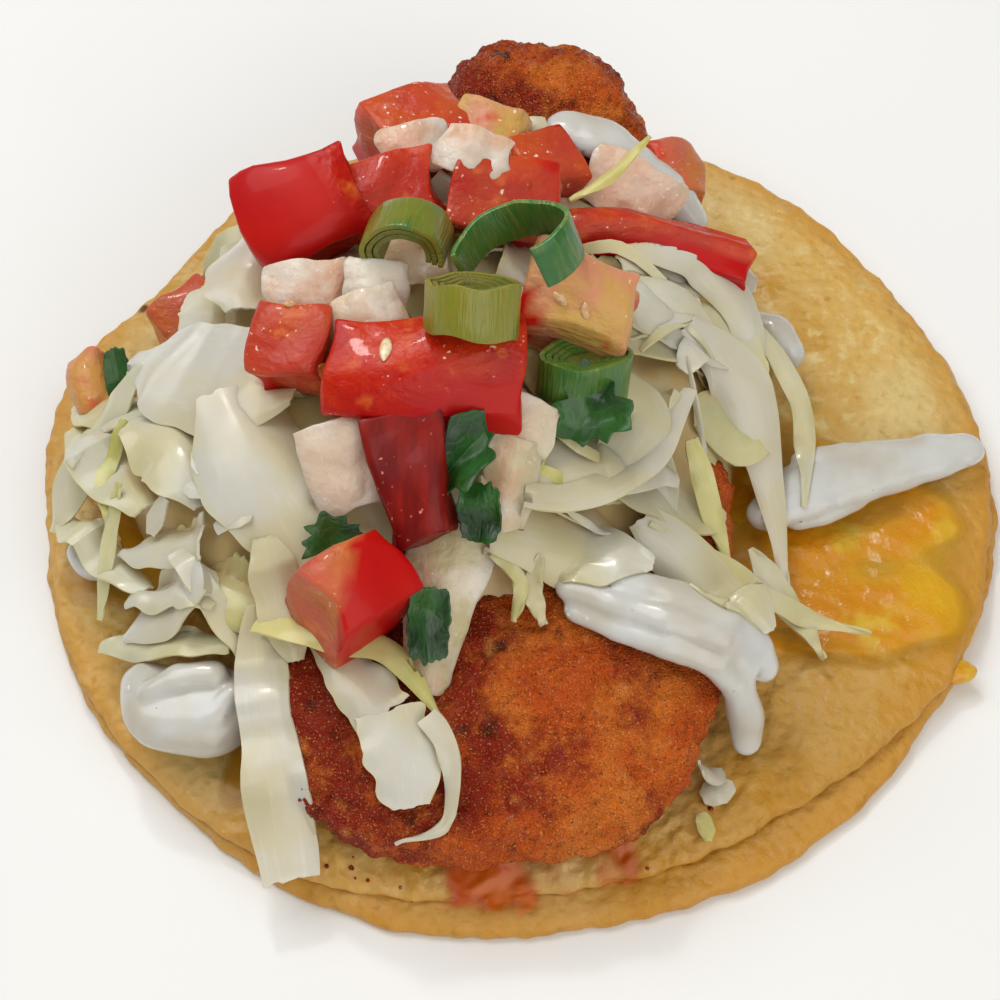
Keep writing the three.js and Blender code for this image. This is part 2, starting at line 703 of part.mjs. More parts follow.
// The leaves and strips that lie uppermost, from the left round the front to the right and the back.
const STRIPS = [
  { from: [-61, 20], heading: -50, length: 42, bend: 42, width: 14, cup: -0.12, frill: 0.8 },
  { from: [-45, 28], heading: -75, length: 34, bend: -20, width: 11, cup: 0.16, roll: [35, 10] },
  { from: [-42, -4], heading: -62, length: 36, bend: 18, width: 15, cup: -0.14, roll: [10, -6] },
  { from: [-34, -24], heading: -93, length: 50, bend: 14, width: 7.6, cup: 0.05, lift: [0, 2, 2, 1] },
  { from: [-29, -24], heading: -78, length: 46, bend: 16, width: 7.4, cup: 0.1, lift: [0, 2, 2, 2] },
  { from: [-40, -26], heading: -24, length: 42, bend: -8, width: 3.2, lift: [0, 3.4, 4, 2] },
  { from: [-57, -25], heading: -12, length: 26, bend: 10, width: 6, cup: 0.14, lift: [0, 4, 3] },
  { from: [-55, -20], heading: 12, length: 18, bend: -24, width: 5, cup: 0.1, lift: [0, 3, 1] },
  { from: [-52, 6], heading: -104, length: 38, bend: 6, width: 3, lift: [0, 3, 2.5], tips: [0.7, 0.3] },
  { from: [-52, 14], heading: 206, length: 26, bend: 62, width: 8, cup: 0.14, roll: [-20, 10] },
  { from: [-54, -7], heading: -60, length: 20, bend: 20, width: 8, cup: 0.1 },
  { from: [-7, -19], heading: -20, length: 30, bend: 34, width: 6, cup: 0.14, roll: [-10, 14] },
  { from: [-4, -22], heading: -38, length: 26, bend: 16, width: 9, cup: -0.1, roll: [0, 12] },
  { from: [10, -22], heading: -24, length: 28, bend: -20, width: 11, cup: -0.1, lift: [0, 3.8, 3.2] },
  { from: [14, -20], heading: -32, length: 42, bend: 34, width: 3.4, lift: [0, 4.6, 1.6], tips: [1, 0.2] },
  { from: [22, -18], heading: -34, length: 30, bend: -10, width: 4, lift: [0, 3.4, 1.4], tips: [1, 0.5] },
  { from: [22, -6], heading: -92, length: 26, bend: 28, width: 5, lift: [0.4, 2.4, 1.6], roll: [0, 40] },
  { from: [14, 22], heading: 2, length: 28, bend: 18, width: 10, cup: 0.16, frill: 0.6 },
  { from: [24, 14], heading: -76, length: 40, bend: 24, width: 11, cup: -0.14, frill: 0.5 },
  { from: [30, 26], heading: -52, length: 44, bend: -56, width: 4, lift: [0, 3, 1.6], roll: [20, 50] },
  { from: [9, -20], heading: 42, length: 30, bend: 22, width: 6, cup: 0.14, roll: [0, 30] },
  { from: [12, -18], heading: 62, length: 28, bend: 30, width: 9, cup: 0.12 },
  { from: [0, -26], heading: -100, length: 16, bend: 10, width: 2.2, tips: [1, 0.6] },
  { from: [-3, -26], heading: -62, length: 17, bend: -10, width: 4, tips: [0.8, 0.8] },
  { from: [8, 34], heading: 60, length: 18, bend: -24, width: 2.2, lift: [0, 6, 8], tips: [0.8, 0.4] },
];

// Loose strips that cover the back of the heap, between two directions in degrees.
const SHREDS = { count: 6, length: [22, 34], width: [3.5, 7], from: 25, to: 185 };

// The bare heap under the toppings: one low dome with folds about as big as the strips.
function cabbageCore() {
  const reach = (angle) => {
    const across = Math.abs(angle - 180) < 90 ? CABBAGE_REACH.left : CABBAGE_REACH.right;
    const along = angle > 180 ? CABBAGE_REACH.front : CABBAGE_REACH.back;
    return 1 / Math.hypot(Math.cos(radians(angle)) / across, Math.sin(radians(angle)) / along);
  };
  const fold = (x, y) => 0.9 * ripple(x, y, 12, 5) * Math.min(1, 3 * (1 - heapShare(x, y)));
  return slab({
    middle: CABBAGE_MIDDLE,
    outline: (angle) => reach(angle) * 0.985,
    lower: () => SEAT,
    upper: (x, y) => heapHeight(x, y) - 0.6 + fold(x, y),
    upperRings: [0.3, 0.55, 0.75, 0.9, 1],
    lowerRings: [1],
    sectors: 24,
    edge: 0.4,
  });
}

function backShreds() {
  const roll = dice(29);
  const between = (low, high) => lerp(low, high, roll());
  return Array.from({ length: SHREDS.count }, (_, i) => {
    const side = lerp(SHREDS.from, SHREDS.to, (i + 0.5) / SHREDS.count);
    const turn = radians(side);
    const out = between(0.42, 0.6);
    const across = Math.cos(turn) < 0 ? CABBAGE_REACH.left : CABBAGE_REACH.right;
    const x = CABBAGE_MIDDLE[0] + out * across * Math.cos(turn);
    const y = CABBAGE_MIDDLE[1] + out * CABBAGE_REACH.back * Math.sin(turn);
    return cabbageStrip({
      from: [x, y],
      heading: side + between(-45, 45),
      length: between(...SHREDS.length),
      bend: between(-50, 50),
      width: between(...SHREDS.width),
      roll: [between(-25, 25), between(-25, 25)],
      lift: [0, 1.2, 0.3],
    }, 3, 1);
  });
}

// The heap with its strips fused on, cut back from everything that lies in or on it.
function cabbageHeap(neighbours) {
  const hollow = swell(fishFillet(16, 14), 4 * GAP);
  let heap = toSolid(cabbageCore()).subtract(toSolid(hollow));
  const steps = (strip) => Math.round(strip.length / 7);
  const strips = STRIPS.map((strip) => cabbageStrip(strip, steps(strip), strip.width > 8 ? 2 : 1));
  [...strips, ...backShreds()].forEach((strip) => {
    heap = heap.add(toSolid(strip));
  });
  const box = boxOf(toGeometry(heap));
  return toGeometry(cutBack(heap, box, neighbours));
}

// ---- Putting the taco together ----

const taco = new THREE.Group();
const made = [];

// Adds a piece to a layer of the taco as a mesh that stands at its own middle.
function add(layer, name, geometry, color, roughness = 0.5) {
  const middle = boxOf(geometry).getCenter(new THREE.Vector3());
  const own = geometry.clone().translate(-middle.x, -middle.y, -middle.z);
  const mesh = new THREE.Mesh(own, new THREE.MeshStandardMaterial({ color, roughness, metalness: 0 }));
  mesh.name = name;
  mesh.position.copy(middle);
  layer.add(mesh);
  made.push(geometry);
}

const [bread, filling, salsa] = ['bread', 'filling', 'salsa'].map(() => new THREE.Group());
taco.add(bread, filling, salsa);

add(bread, 'tortilla_bottom', tortillaBottom(), COLOURS.bread, 0.8);
add(bread, 'tortilla_top', tortillaTop(), COLOURS.bread, 0.8);
add(filling, 'melted_cheese', meltedCheese(), COLOURS.cheese, 0.35);
add(filling, 'cheese_tip', fitted(cheeseTip(), made), COLOURS.cheese, 0.35);
add(filling, 'fish_fillet', fitted(fishFillet(26, 20), made), COLOURS.fish, 0.6);
Object.entries(CREMA).forEach(([name, stops]) => {
  add(filling, name, fitted(poured(stops), made), COLOURS.crema, 0.25);
});
TOMATOES.forEach((piece, i) => {
  const shape = placed(tomatoDice(piece), piece);
  add(salsa, `tomato_${i + 1}`, fitted(shape, made), piece.pale ? COLOURS.paleTomato : COLOURS.tomato, 0.2);
});
RINGS.forEach((piece, i) => {
  add(salsa, `green_onion_${i + 1}`, fitted(placed(onionRing(piece), piece), made), COLOURS.scallion, 0.35);
});
ONIONS.forEach((piece, i) => {
  add(salsa, `onion_${i + 1}`, fitted(placed(onionPetal(piece), piece), made), COLOURS.onion, 0.25);
});
LEAVES.forEach((piece, i) => {
  add(salsa, `cilantro_${i + 1}`, fitted(placed(cilantroLeaf(piece), piece), made), COLOURS.cilantro, 0.5);
});
add(filling, 'cabbage_heap', cabbageHeap(made), COLOURS.cabbage, 0.4);

export default taco;
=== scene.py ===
import math
import random
import bpy
from mathutils import Euler, Matrix, Vector, noise
from mathutils.bvhtree import BVHTree
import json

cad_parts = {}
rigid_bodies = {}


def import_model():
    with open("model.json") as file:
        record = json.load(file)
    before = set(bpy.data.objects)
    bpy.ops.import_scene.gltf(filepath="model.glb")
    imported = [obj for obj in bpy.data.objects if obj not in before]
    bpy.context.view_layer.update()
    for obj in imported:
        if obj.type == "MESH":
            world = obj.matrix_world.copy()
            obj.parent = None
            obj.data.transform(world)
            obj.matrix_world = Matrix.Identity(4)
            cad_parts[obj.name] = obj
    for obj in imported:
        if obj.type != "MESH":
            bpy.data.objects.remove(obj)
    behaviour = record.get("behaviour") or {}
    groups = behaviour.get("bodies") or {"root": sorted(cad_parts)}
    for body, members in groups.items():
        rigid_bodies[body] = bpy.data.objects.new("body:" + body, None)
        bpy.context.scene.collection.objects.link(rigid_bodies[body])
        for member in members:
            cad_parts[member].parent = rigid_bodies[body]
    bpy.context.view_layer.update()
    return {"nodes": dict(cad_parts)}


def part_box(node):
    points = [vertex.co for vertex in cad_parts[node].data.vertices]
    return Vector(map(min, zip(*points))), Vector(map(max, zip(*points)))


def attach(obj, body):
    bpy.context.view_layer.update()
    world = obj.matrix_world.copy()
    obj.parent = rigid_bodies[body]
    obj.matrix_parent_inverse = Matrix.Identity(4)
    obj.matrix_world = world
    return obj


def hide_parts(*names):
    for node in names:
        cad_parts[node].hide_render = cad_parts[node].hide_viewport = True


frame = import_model()
bpy.ops.object.select_all(action="DESELECT")

# ---- Table, light and camera ----
# The taco lies on a plain white table top in soft daylight from behind on the left, with a weaker
# light from the front right. The camera looks down on it from the front.

MM = 0.001
CAMERA_PLACE = (-0.0024, -0.23386, 0.3482)
CAMERA_TILT = 34
CAMERA_LENS = 102
TABLE_SIZE = 6
TABLE_DROP = 0.0003

# Each lamp has a name, its place and its width in metres, its power in watts and its tone.
LAMPS = (
    ("window", (-0.40, 0.30, 0.75), 0.80, 4.2, (0.98, 0.99, 0.99)),
    ("low_sun", (-0.16, 0.42, 0.62), 0.08, 0.8, (1.0, 0.97, 0.92)),
    ("front_fill", (0.35, -0.60, 0.50), 1.00, 3.7, (1.0, 0.97, 0.92)),
    ("top_fill", (0.15, -0.05, 0.95), 0.90, 1.1, (0.98, 1.0, 1.0)),
)


def colour(red, green, blue):
    """A display colour from 0 to 255 as the linear values that a shader takes."""
    linear = []
    for part in (red, green, blue):
        share = part / 255
        linear.append(share / 12.92 if part <= 10 else ((share + 0.055) / 1.055) ** 2.4)
    return (*linear, 1.0)


def add_node(tree, kind, inputs=None, **settings):
    """Adds a shader node; an input is either a value or another node's output."""
    made = tree.nodes.new("ShaderNode" + kind)
    for name, value in settings.items():
        setattr(made, name, value)
    for key, value in (inputs or {}).items():
        if isinstance(value, bpy.types.NodeSocket):
            tree.links.new(value, made.inputs[key])
        else:
            made.inputs[key].default_value = value
    return made


def blend_colour(tree, mask, first, second):
    return add_node(tree, "Mix", {0: mask, 6: first, 7: second}, data_type="RGBA").outputs[2]


def new_finish(name, fixed):
    """A material with its plain values set on the shader itself."""
    finish = bpy.data.materials.new(name)
    finish.use_nodes = True
    shader = finish.node_tree.nodes["Principled BSDF"]
    for key, value in fixed.items():
        shader.inputs[key].default_value = value
    place = finish.node_tree.nodes.new("ShaderNodeTexCoord").outputs["Object"]
    return finish, finish.node_tree, shader, place


def new_group(name, inputs, outputs):
    group = bpy.data.node_groups.new(name, "ShaderNodeTree")
    for socket, kind in inputs:
        group.interface.new_socket(name=socket, in_out="INPUT", socket_type="NodeSocket" + kind)
    for socket, kind in outputs:
        group.interface.new_socket(name=socket, in_out="OUTPUT", socket_type="NodeSocket" + kind)
    return group, group.nodes.new("NodeGroupInput").outputs, group.nodes.new("NodeGroupOutput").inputs


# Soft-edged patches, used by every finish here for its uneven colour.
patch_group, given, result = new_group(
    "soft_patches",
    (("Vector", "Vector"), ("Scale", "Float"), ("Detail", "Float"), ("From", "Float"), ("To", "Float")),
    (("Mask", "Float"),),
)
cloud = add_node(
    patch_group, "TexNoise", {"Vector": given["Vector"], "Scale": given["Scale"], "Detail": given["Detail"]}
)
limits = {"Value": cloud.outputs[0], "From Min": given["From"], "From Max": given["To"]}
edge = add_node(patch_group, "MapRange", limits, interpolation_type="SMOOTHSTEP")
patch_group.links.new(edge.outputs[0], result["Mask"])


def patches(tree, place, scale, start, end, detail=3.0):
    """Where soft-edged patches lie: a larger `scale` makes them smaller, `end` nearer `start` sharper."""
    values = {"Vector": place, "Scale": scale, "Detail": detail, "From": start, "To": end}
    return add_node(tree, "Group", values, node_tree=patch_group).outputs["Mask"]


bpy.ops.mesh.primitive_plane_add(size=TABLE_SIZE, location=(0, 0, -TABLE_DROP))
table = bpy.context.object
table.name = "table_top"
table_paint, tree, shader, place = new_finish("table_paint", {"Roughness": 0.75, "Specular IOR Level": 0.2})
shade = blend_colour(tree, patches(tree, place, 6, 0.3, 0.7), colour(240, 243, 247), colour(244, 247, 250))
tree.links.new(shade, shader.inputs["Base Color"])
table.data.materials.append(table_paint)

for name, spot, size, power, tone in LAMPS:
    aim = (-Vector(spot)).to_track_quat("-Z", "Y").to_euler()
    bpy.ops.object.light_add(type="AREA", location=spot, rotation=aim)
    lamp = bpy.context.object
    lamp.name = name
    lamp.data.shape = "DISK"
    lamp.data.size = size
    lamp.data.energy = power
    lamp.data.color = tone

studio = bpy.data.worlds.new("studio")
studio.use_nodes = True
air = studio.node_tree.nodes["Background"]
air.inputs["Color"].default_value = (1.0, 0.86, 0.66, 1.0)
air.inputs["Strength"].default_value = 0.27
bpy.context.scene.world = studio
bpy.context.scene.view_settings.view_transform = "Standard"

bpy.ops.object.camera_add(location=CAMERA_PLACE, rotation=(math.radians(CAMERA_TILT), 0, 0))
camera = bpy.context.object
camera.data.lens = CAMERA_LENS
camera.data.sensor_width = 36
camera.data.clip_start = 0.01
bpy.context.scene.camera = camera

# ---- The two tortillas ----
# Soft corn tortillas, pressed from coarse ground corn and toasted on a griddle, one on the other.
# Both are a little puffed and pitted, with a rounded rim and golden toasted blotches.

BREAD_RADIUS = 70
LOWER_TOP = 2.75
UPPER_TOP = 5.7
TOP_SHIFT = Vector((-1.2, 1.8))


def lobe(angle, middle, spread):
    away = abs(angle - middle) % 360
    away = min(away, 360 - away)
    return math.exp(-1.5 * (away / spread) ** 2)


def sine(angle):
    return math.sin(math.radians(angle))


def rough(x, y, size, seed=0.0):
    """Smooth random unevenness from about -1 to 1, with bumps about `size` mm wide."""
    return 2 * noise.noise(Vector((x / size, y / size, seed)))


def torn(angle, seed):
    """The small unevenness of a pressed edge."""
    x, y = 12 * math.cos(math.radians(angle)), 12 * math.sin(math.radians(angle))
    return 0.35 * rough(x, y, 1.0, seed) + 0.2 * rough(x, y, 0.4, seed) - 0.3


def lower_outline(angle):
    wobble = 0.7 * sine(3 * angle + 40) + 0.5 * sine(7 * angle + 110) + torn(angle, 2.0)
    return BREAD_RADIUS + wobble - 5.2 * lobe(angle, 143, 17) - 1.2 * lobe(angle, 100, 30)


def upper_outline(angle):
    wobble = (
        0.6 * sine(4 * angle + 200) + 0.4 * sine(9 * angle) + torn(angle, 7.0)
        + 2.8 * lobe(angle, -3, 46)
    )
    return (
        BREAD_RADIUS - 1.3 + wobble - 4.2 * lobe(angle, 143, 18)
        - 1.8 * lobe(angle, -58, 40) + 1.3 * lobe(angle, -128, 34)
    )


def thinned(outline, x, y, width):
    """How near a spot is to the rim: 0 further in than `width`, and 1 at the edge."""
    away = outline(math.degrees(math.atan2(y, x))) - math.hypot(x, y)
    return min(1.0, max(0.0, 1 - away / width)) ** 2


def bread_top(x, y):
    puff = 0.26 * rough(x, y, 17, 1.5) + 0.14 * rough(x, y, 6.5, 4.2)
    lumps = 0.75 * max(0.0, rough(x, y, 3.4, 8.1)) + 0.3 * rough(x, y, 1.6, 3.1)
    lumps *= 0.25 + 0.75 * lobe(math.degrees(math.atan2(y, x)), -85, 50)
    sunk = 1.5 * thinned(upper_outline, x - TOP_SHIFT.x, y - TOP_SHIFT.y, 7)
    return UPPER_TOP - 0.1 + puff + lumps - sunk


def lower_top(x, y):
    crumble = 0.15 * rough(x, y, 9, 3.3) + 0.16 * rough(x, y, 2.2, 5.3)
    return LOWER_TOP - 0.2 + crumble - 0.7 * thinned(lower_outline, x, y, 5)


def pick(*pieces):
    """Selects these pieces alone; the first becomes the active one."""
    bpy.ops.object.select_all(action="DESELECT")
    for piece in pieces:
        piece.select_set(True)
    bpy.context.view_layer.objects.active = pieces[0]


def settle(piece, name, finish, slot, *nodes):
    """Names a finished piece, gives it its material and puts it in its node's stead."""
    piece.name = name
    piece.data.name = name
    if finish:
        piece.data.materials.clear()
        piece.data.materials.append(finish)
    pick(piece)
    bpy.ops.object.shade_smooth()
    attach(piece, "root")
    if nodes:
        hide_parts(*nodes)
    return piece


def round_slab(outline, lower, upper, cells, rim, shift=(0, 0)):
    """A grid thickened and bent to a round slab between two surfaces, with its rim rounded off."""
    bpy.ops.mesh.primitive_grid_add(x_subdivisions=cells, y_subdivisions=cells, size=2)
    slab = bpy.context.object
    bpy.ops.object.mode_set(mode="EDIT")
    bpy.ops.mesh.extrude_region_move(TRANSFORM_OT_translate={"value": (0, 0, 1)})
    bpy.ops.object.mode_set(mode="OBJECT")
    for corner in slab.data.vertices:
        u, v, side = corner.co
        x = u * math.sqrt(1 - v * v / 2)
        y = v * math.sqrt(1 - u * u / 2)
        reach = outline(math.degrees(math.atan2(y, x)))
        inward = max(0.0, 1 - reach * (1 - math.hypot(x, y)) / rim)
        fall = 1 - math.sqrt(max(0.0, 1 - inward * inward))
        x = x * reach + shift[0]
        y = y * reach + shift[1]
        low, high = lower(x, y), upper(x, y)
        middle = low + 0.45 * (high - low)
        height = high + (middle - high) * 0.75 * fall if side > 0.5 else low + (middle - low) * 0.6 * fall
        corner.co = (x * MM, y * MM, height * MM)
    pick(slab)
    bpy.ops.object.mode_set(mode="EDIT")
    bpy.ops.mesh.select_all(action="SELECT")
    bpy.ops.mesh.normals_make_consistent(inside=False)
    bpy.ops.object.mode_set(mode="OBJECT")
    return slab


def add_relief(tree, shader, height, depth, strength=1.0):
    bump = add_node(tree, "Bump", {"Height": height, "Distance": depth, "Strength": strength})
    tree.links.new(bump.outputs["Normal"], shader.inputs["Normal"])


def moved(tree, place, shift, scale=(1, 1, 1)):
    return add_node(tree, "Mapping", {"Vector": place, "Location": shift, "Scale": scale}).outputs[0]


corn_dough, tree, shader, place = new_finish(
    "corn_dough", {"Subsurface Weight": 0.1, "Subsurface Scale": 0.0015}
)
golden = colour(208, 170, 90)
pale = colour(212, 190, 128)
ochre = colour(198, 152, 62)
crumbly = colour(216, 192, 128)
shade = blend_colour(tree, patches(tree, place, 55, 0.36, 0.7, 3), golden, pale)
shade = blend_colour(
    tree, patches(tree, moved(tree, place, (0.3, 0.1, 0)), 95, 0.44, 0.72, 3), shade, ochre
)
shade = blend_colour(tree, patches(tree, moved(tree, place, (0.1, 0.5, 0)), 420, 0.5, 0.72), shade, crumbly)
toward_front_right = add_node(
    tree, "VectorMath", {0: place, 1: (0.75, -0.66, 0)}, operation="DOT_PRODUCT"
).outputs["Value"]
soaked = add_node(
    tree, "MapRange", {"Value": toward_front_right, "From Min": 0.038, "From Max": 0.056, "To Max": 0.7}
)
shade = blend_colour(tree, soaked.outputs[0], shade, colour(192, 136, 28))
flat_place = add_node(tree, "VectorMath", {0: place, 1: (1, 1, 0)}, operation="MULTIPLY").outputs[0]
from_middle = add_node(tree, "VectorMath", {0: flat_place}, operation="LENGTH").outputs["Value"]
rim_mask = add_node(
    tree, "MapRange", {"Value": from_middle, "From Min": 0.0625, "From Max": 0.0705, "To Max": 0.85}
)
shade = blend_colour(tree, rim_mask.outputs[0], shade, colour(200, 142, 44))
toasted = patches(tree, moved(tree, place, (0.9, 0.3, 0)), 480, 0.6, 0.85, 4)
shade = blend_colour(tree, toasted, shade, colour(182, 128, 48))
specks = add_node(tree, "TexVoronoi", {"Vector": place, "Scale": 80.0})
near_speck = add_node(
    tree, "MapRange", {"Value": specks.outputs["Distance"], "From Min": 0.09, "From Max": 0.05}
)
few = patches(tree, moved(tree, place, (0.7, 0.2, 0)), 75, 0.58, 0.62)
speck = add_node(tree, "Math", {0: near_speck.outputs[0], 1: few}, operation="MULTIPLY").outputs[0]
shade = blend_colour(tree, speck, shade, colour(96, 52, 16))
tree.links.new(shade, shader.inputs["Base Color"])
oily = add_node(
    tree, "MapRange", {"Value": patches(tree, place, 90, 0.4, 0.6), "To Min": 0.6, "To Max": 0.38}
)
tree.links.new(oily.outputs[0], shader.inputs["Roughness"])
coarse = add_node(tree, "TexNoise", {"Vector": place, "Scale": 330.0, "Detail": 4.0, "Roughness": 0.6})
pits = add_node(tree, "TexVoronoi", {"Vector": place, "Scale": 620.0}, feature="SMOOTH_F1")
height = add_node(
    tree, "Math", {0: coarse.outputs[0], 1: pits.outputs["Distance"]}, operation="ADD"
).outputs[0]
add_relief(tree, shader, height, 0.0006, 0.9)

lower_tortilla = round_slab(lower_outline, lambda x, y: 0.0, lower_top, 150, 1.3)
settle(lower_tortilla, "lower_tortilla", corn_dough, "corn_tortilla", "tortilla_bottom")
upper_tortilla = round_slab(upper_outline, lambda x, y: LOWER_TOP, bread_top, 190, 1.0, TOP_SHIFT)
settle(upper_tortilla, "upper_tortilla", corn_dough, "corn_tortilla", "tortilla_top")

# ---- Melted cheese and juices ----
# Grated cheddar that has melted on the upper tortilla into one thin oily sheet with tongues, with
# the threads of the grating still showing, and two thin pools of orange juice that run from it.

JUICES = (
    {"at": (-4, -63.6), "reach": 12.5, "flat": 0.48, "phase": 0.4},
    {"at": (12.5, -60), "reach": 6.0, "flat": 0.9, "phase": 2.1},
)


def cheese_outline(angle):
    tongues = (
        22 * lobe(angle, 178, 14) + 21 * lobe(angle, 196, 11) + 22 * lobe(angle, -6, 15)
        + 20 * lobe(angle, -25, 15) - 6 * lobe(angle, 32, 26) + 17 * lobe(angle, -94, 13)
        + 20 * lobe(angle, -128, 9) + 8 * lobe(angle, -70, 8)
    )
    ragged = 1.3 * sine(11 * angle) + 0.8 * sine(17 * angle + 60) + 0.5 * sine(31 * angle)
    return 45.5 + tongues + ragged


def threads(x, y):
    """Ridges of half melted gratings that cross each other."""
    first = abs(rough(x + 0.6 * y, 0.22 * (y - 0.6 * x), 4.0, 2.2))
    second = abs(rough(0.25 * (x - 0.8 * y), y + 0.8 * x, 5.0, 6.2))
    return max(0.0, 0.8 - 3.2 * min(first, second))


def point_colours(tree, name):
    """The three channels of a colour that is stored at the points of a mesh."""
    stored = add_node(tree, "VertexColor", layer_name=name).outputs[0]
    return add_node(tree, "SeparateColor", {0: stored}).outputs


melted, tree, shader, place = new_finish(
    "melted_cheddar",
    {
        "Roughness": 0.26,
        "Subsurface Weight": 0.25,
        "Subsurface Scale": 0.002,
        "Coat Weight": 0.18,
        "Coat Roughness": 0.1,
    },
)
melt = point_colours(tree, "melt_depth")[0]
shade = blend_colour(
    tree, patches(tree, place, 60, 0.4, 0.6, 4), colour(222, 170, 28), colour(214, 142, 18)
)
shade = blend_colour(
    tree, patches(tree, moved(tree, place, (0.2, 0.7, 0)), 150, 0.52, 0.68), shade, colour(220, 182, 56)
)
shade = blend_colour(tree, melt, colour(206, 160, 44), shade)
tree.links.new(shade, shader.inputs["Base Color"])
thin_edge = add_node(tree, "MapRange", {"Value": melt, "From Min": 0.02, "From Max": 0.62, "To Max": 0.95})
tree.links.new(thin_edge.outputs[0], shader.inputs["Alpha"])
add_relief(tree, shader, patches(tree, place, 380, 0.2, 0.8, 3), 0.0002)


def paint_points(piece, name, tone):
    """Stores a colour at each point of the mesh, worked out from where the point lies."""
    layer = piece.data.color_attributes.new(name, "FLOAT_COLOR", "POINT")
    for corner, spot in zip(piece.data.vertices, layer.data):
        spot.color = (*tone(corner.co), 1.0)


def cheese_depth(x, y):
    """How deep the cheese is, from 0 where it thins out to nothing to 1."""
    inward = cheese_outline(math.degrees(math.atan2(y, x))) - math.hypot(x, y)
    return min(1.0, max(0.0, inward / 6.5)) * min(1.0, max(0.45, 0.85 + 0.7 * rough(x, y, 9, 9.0)))


def cheese_top(x, y):
    depth = cheese_depth(x, y)
    return bread_top(x, y) + 0.06 + depth * (0.5 + 0.16 * rough(x, y, 8, 5.0) + 0.35 * threads(x, y))


cheese = round_slab(cheese_outline, lambda x, y: bread_top(x, y) - 0.6, cheese_top, 190, 2.5)
paint_points(cheese, "melt_depth", lambda spot: (cheese_depth(spot.x / MM, spot.y / MM),) * 3)
settle(cheese, "cheese_sheet", melted, "cheese", "melted_cheese")

bpy.ops.mesh.primitive_uv_sphere_add(segments=24, ring_count=14, radius=1)
bead = bpy.context.object
low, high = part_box("cheese_tip")
for corner in bead.data.vertices:
    squeeze = 0.55 + 0.4 * (1 - corner.co.x) / 2
    swell = 1 + 0.12 * noise.noise(corner.co * 1.7)
    spot = Vector((corner.co.x, corner.co.y * squeeze, corner.co.z * squeeze)) * swell
    corner.co = Vector(low[i] + (high[i] - low[i]) * (spot[i] * 0.96 + 1) / 2 for i in range(3))
paint_points(bead, "melt_depth", lambda spot: (1.0, 1.0, 1.0))
settle(bead, "cheese_bead", melted, "cheese", "cheese_tip")

juice, tree, shader, place = new_finish(
    "orange_juice", {"Roughness": 0.35, "Coat Weight": 0.1, "Coat Roughness": 0.1}
)
shade = blend_colour(tree, patches(tree, place, 130, 0.35, 0.65), colour(214, 108, 12), colour(204, 78, 8))
tree.links.new(shade, shader.inputs["Base Color"])
add_relief(tree, shader, patches(tree, place, 240, 0.2, 0.8), 0.00008)
film_depth = point_colours(tree, "film_depth")[0]
tree.links.new(film_depth, shader.inputs["Alpha"])
for number, pool in enumerate(JUICES, 1):
    x0, y0 = pool["at"]

    def pool_outline(angle):
        wobble = 0.12 * sine(3 * angle + 60 * pool["phase"]) + 0.1 * sine(5 * angle + 90 * pool["phase"])
        across = math.hypot(math.cos(math.radians(angle)), math.sin(math.radians(angle)) / pool["flat"])
        return pool["reach"] * (1 + wobble) / across

    def pool_top(x, y):
        away = math.hypot(x - x0, (y - y0) / pool["flat"]) / pool["reach"]
        return bread_top(x, y) + 0.16 - 0.1 * away**2

    def film_tone(spot):
        x, y = spot.x / MM, spot.y / MM
        away = math.hypot(x - x0, (y - y0) / pool["flat"]) / pool["reach"]
        thick = min(1.0, max(0.0, 1.3 * (0.92 - away) + 0.4 * rough(x, y, 3.5, pool["phase"])))
        return (0.85 * thick * thick * (3 - 2 * thick),) * 3

    film = round_slab(pool_outline, lambda x, y: bread_top(x, y) - 0.4, pool_top, 44, 1.0, pool["at"])
    paint_points(film, "film_depth", film_tone)
    settle(film, f"juice_pool_{number}", juice, "cheese")

# ---- Fish fillet ----
# One long white fish fillet in a crisp, gritty breaded crust, deep fried until orange-brown, with
# dark red spots where the crust is thickest. It is nearly as long as the tortilla is wide.

CRUST_CELL = 0.00055


def finish_with(piece, kind, **settings):
    """Adds a modifier and applies it."""
    change = piece.modifiers.new(kind.lower(), kind)
    for name, value in settings.items():
        setattr(change, name, value)
    bpy.context.view_layer.objects.active = piece
    bpy.ops.object.modifier_apply(modifier=change.name)


def copy_of_node(node):
    """A merged copy of a CAD node's mesh, so that its loose triangles become one skin."""
    source = frame["nodes"][node]
    piece = bpy.data.objects.new(node + "_copy", source.data.copy())
    bpy.context.scene.collection.objects.link(piece)
    piece.hide_render = False
    pick(piece)
    bpy.ops.object.mode_set(mode="EDIT")
    bpy.ops.mesh.select_all(action="SELECT")
    bpy.ops.mesh.remove_doubles(threshold=0.00001)
    bpy.ops.object.mode_set(mode="OBJECT")
    return piece


def raise_relief(piece, size, depth):
    """Pushes the surface in and out by a cloud pattern with forms `size` across."""
    pattern = bpy.data.textures.new(piece.name + "_clouds", "CLOUDS")
    pattern.noise_scale = size
    finish_with(piece, "DISPLACE", texture=pattern, texture_coords="LOCAL", strength=depth, mid_level=0.5)


